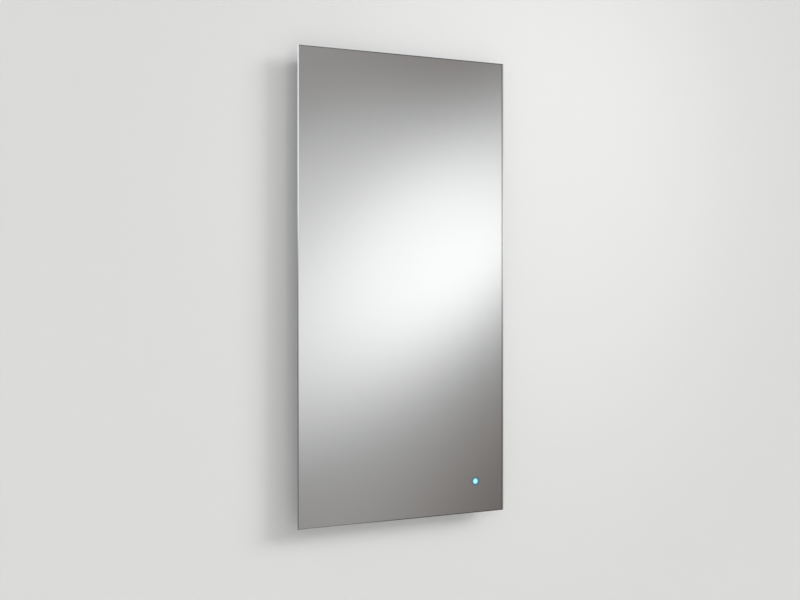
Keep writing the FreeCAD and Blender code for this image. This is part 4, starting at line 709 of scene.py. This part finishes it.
amount = tent_glow(unit)
warmth = np.clip((WARM_BELOW - amount) / WARM_BELOW, 0, 1)[:, None]
brightness = np.ones((len(unit), 4), np.float32)
brightness[:, :3] = amount[:, None] * (1 + warmth * WARM_TINT)
glow_layer = tent_mesh.color_attributes.new("glow", "FLOAT_COLOR", "POINT")
glow_layer.data.foreach_set("color", brightness.ravel())
reds = brightness[:, 0]
print("tent glow from", round(float(reds.min()), 2), "to", round(float(reds.max()), 2))

# %% Hang the tent
tent_cloth = start_finish("tent_cloth", (0, 0, 0), 1.0)
reader = add_node(tent_cloth, "VertexColor", layer_name="glow")
lamp = add_node(tent_cloth, "Emission", Strength=1.0)
join(tent_cloth, reader.outputs["Color"], lamp.inputs["Color"])
join(tent_cloth, lamp.outputs[0], surface_socket(tent_cloth))
tent_mesh.materials.append(tent_cloth)
tent = bpy.data.objects.new("tent", tent_mesh)
bpy.context.scene.collection.objects.link(tent)
for sight in ("visible_camera", "visible_diffuse", "visible_shadow"):
    setattr(tent, sight, False)

# %% [markdown]
# ## Lamps
#
# Light from all round gives the wall its even tone and leaves the narrow gap behind the glass darker. Two
# broad lamps far away to the right, one above the other, throw the shadow to the left and below. Each
# looks 20 degrees wide, about a spread hand at arm's length, and shines at a slant along the wall. That
# stretches a 35 mm gap into a shadow that fades over some ten centimetres. They could be one long lamp
# close by, but far lamps light the whole wall evenly. A spot then makes the wall a little brighter to the
# right of the glass, as it is in the picture.

# %% Light from all round
world = bpy.data.worlds.new("studio")
world.use_nodes = True
air_light = world.node_tree.nodes["Background"]
air_light.inputs["Color"].default_value = (1.0, 1.0, 1.0, 1.0)
air_light.inputs["Strength"].default_value = 0.60
backdrop = world.node_tree.nodes.new("ShaderNodeBackground")
backdrop.inputs["Color"].default_value = (0.70, 0.70, 0.695, 1.0)
ray = world.node_tree.nodes.new("ShaderNodeLightPath")
chosen = world.node_tree.nodes.new("ShaderNodeMixShader")
join(world, ray.outputs["Is Camera Ray"], chosen.inputs["Fac"])
join(world, air_light.outputs[0], chosen.inputs[1])
join(world, backdrop.outputs[0], chosen.inputs[2])
join(world, chosen.outputs[0], world.node_tree.nodes["World Output"].inputs["Surface"])
bpy.context.scene.world = world
print("light from all round", round(air_light.inputs["Strength"].default_value, 2))


# %% Helpers for lamps
def add_lamp(name, kind, place, target, energy, **settings):
    """A lamp that looks at a point. It lights things, but no mirror or glass shows the lamp itself."""
    data = bpy.data.lights.new(name, kind)
    data.energy = energy
    for key, value in settings.items():
        setattr(data, key, value)
    lamp = bpy.data.objects.new(name, data)
    lamp.location = place
    lamp.rotation_euler = (target - place).to_track_quat("-Z", "Y").to_euler()
    lamp.visible_glossy = False
    lamp.visible_transmission = False
    bpy.context.scene.collection.objects.link(lamp)


def towards(turn, rise):
    """A unit vector that turns to the right and rises, in degrees, seen from the wall."""
    turn, rise = math.radians(turn), math.radians(rise)
    return Vector((math.sin(turn) * math.cos(rise), -math.cos(turn) * math.cos(rise), math.sin(rise)))


# %% Three lamps
LAMP_WIDTH = math.radians(20)
FAR = 5.0  # the place of a sun only sets its direction

side_lamp_place = glass_middle + towards(65, 22) * FAR
add_lamp("side_lamp", "SUN", side_lamp_place, glass_middle, 1.69, angle=LAMP_WIDTH)
high_lamp_place = glass_middle + towards(50, 38) * FAR
add_lamp("high_lamp", "SUN", high_lamp_place, glass_middle, 0.39, angle=LAMP_WIDTH)

bright_spot = Vector((0.36, 0.0, -0.15))
wall_spot_place = bright_spot + towards(8, 20) * 2.6
wall_spot = {"spot_size": math.radians(35), "spot_blend": 1.0, "shadow_soft_size": 0.3}
add_lamp("wall_spot", "SPOT", wall_spot_place, bright_spot, 50.0, **wall_spot)
print(len(bpy.data.lights), "lamps")

# %% Show the colours as they are
view = bpy.context.scene.view_settings
view.view_transform = "Standard"
view.look = "None"
print("view transform", view.view_transform)
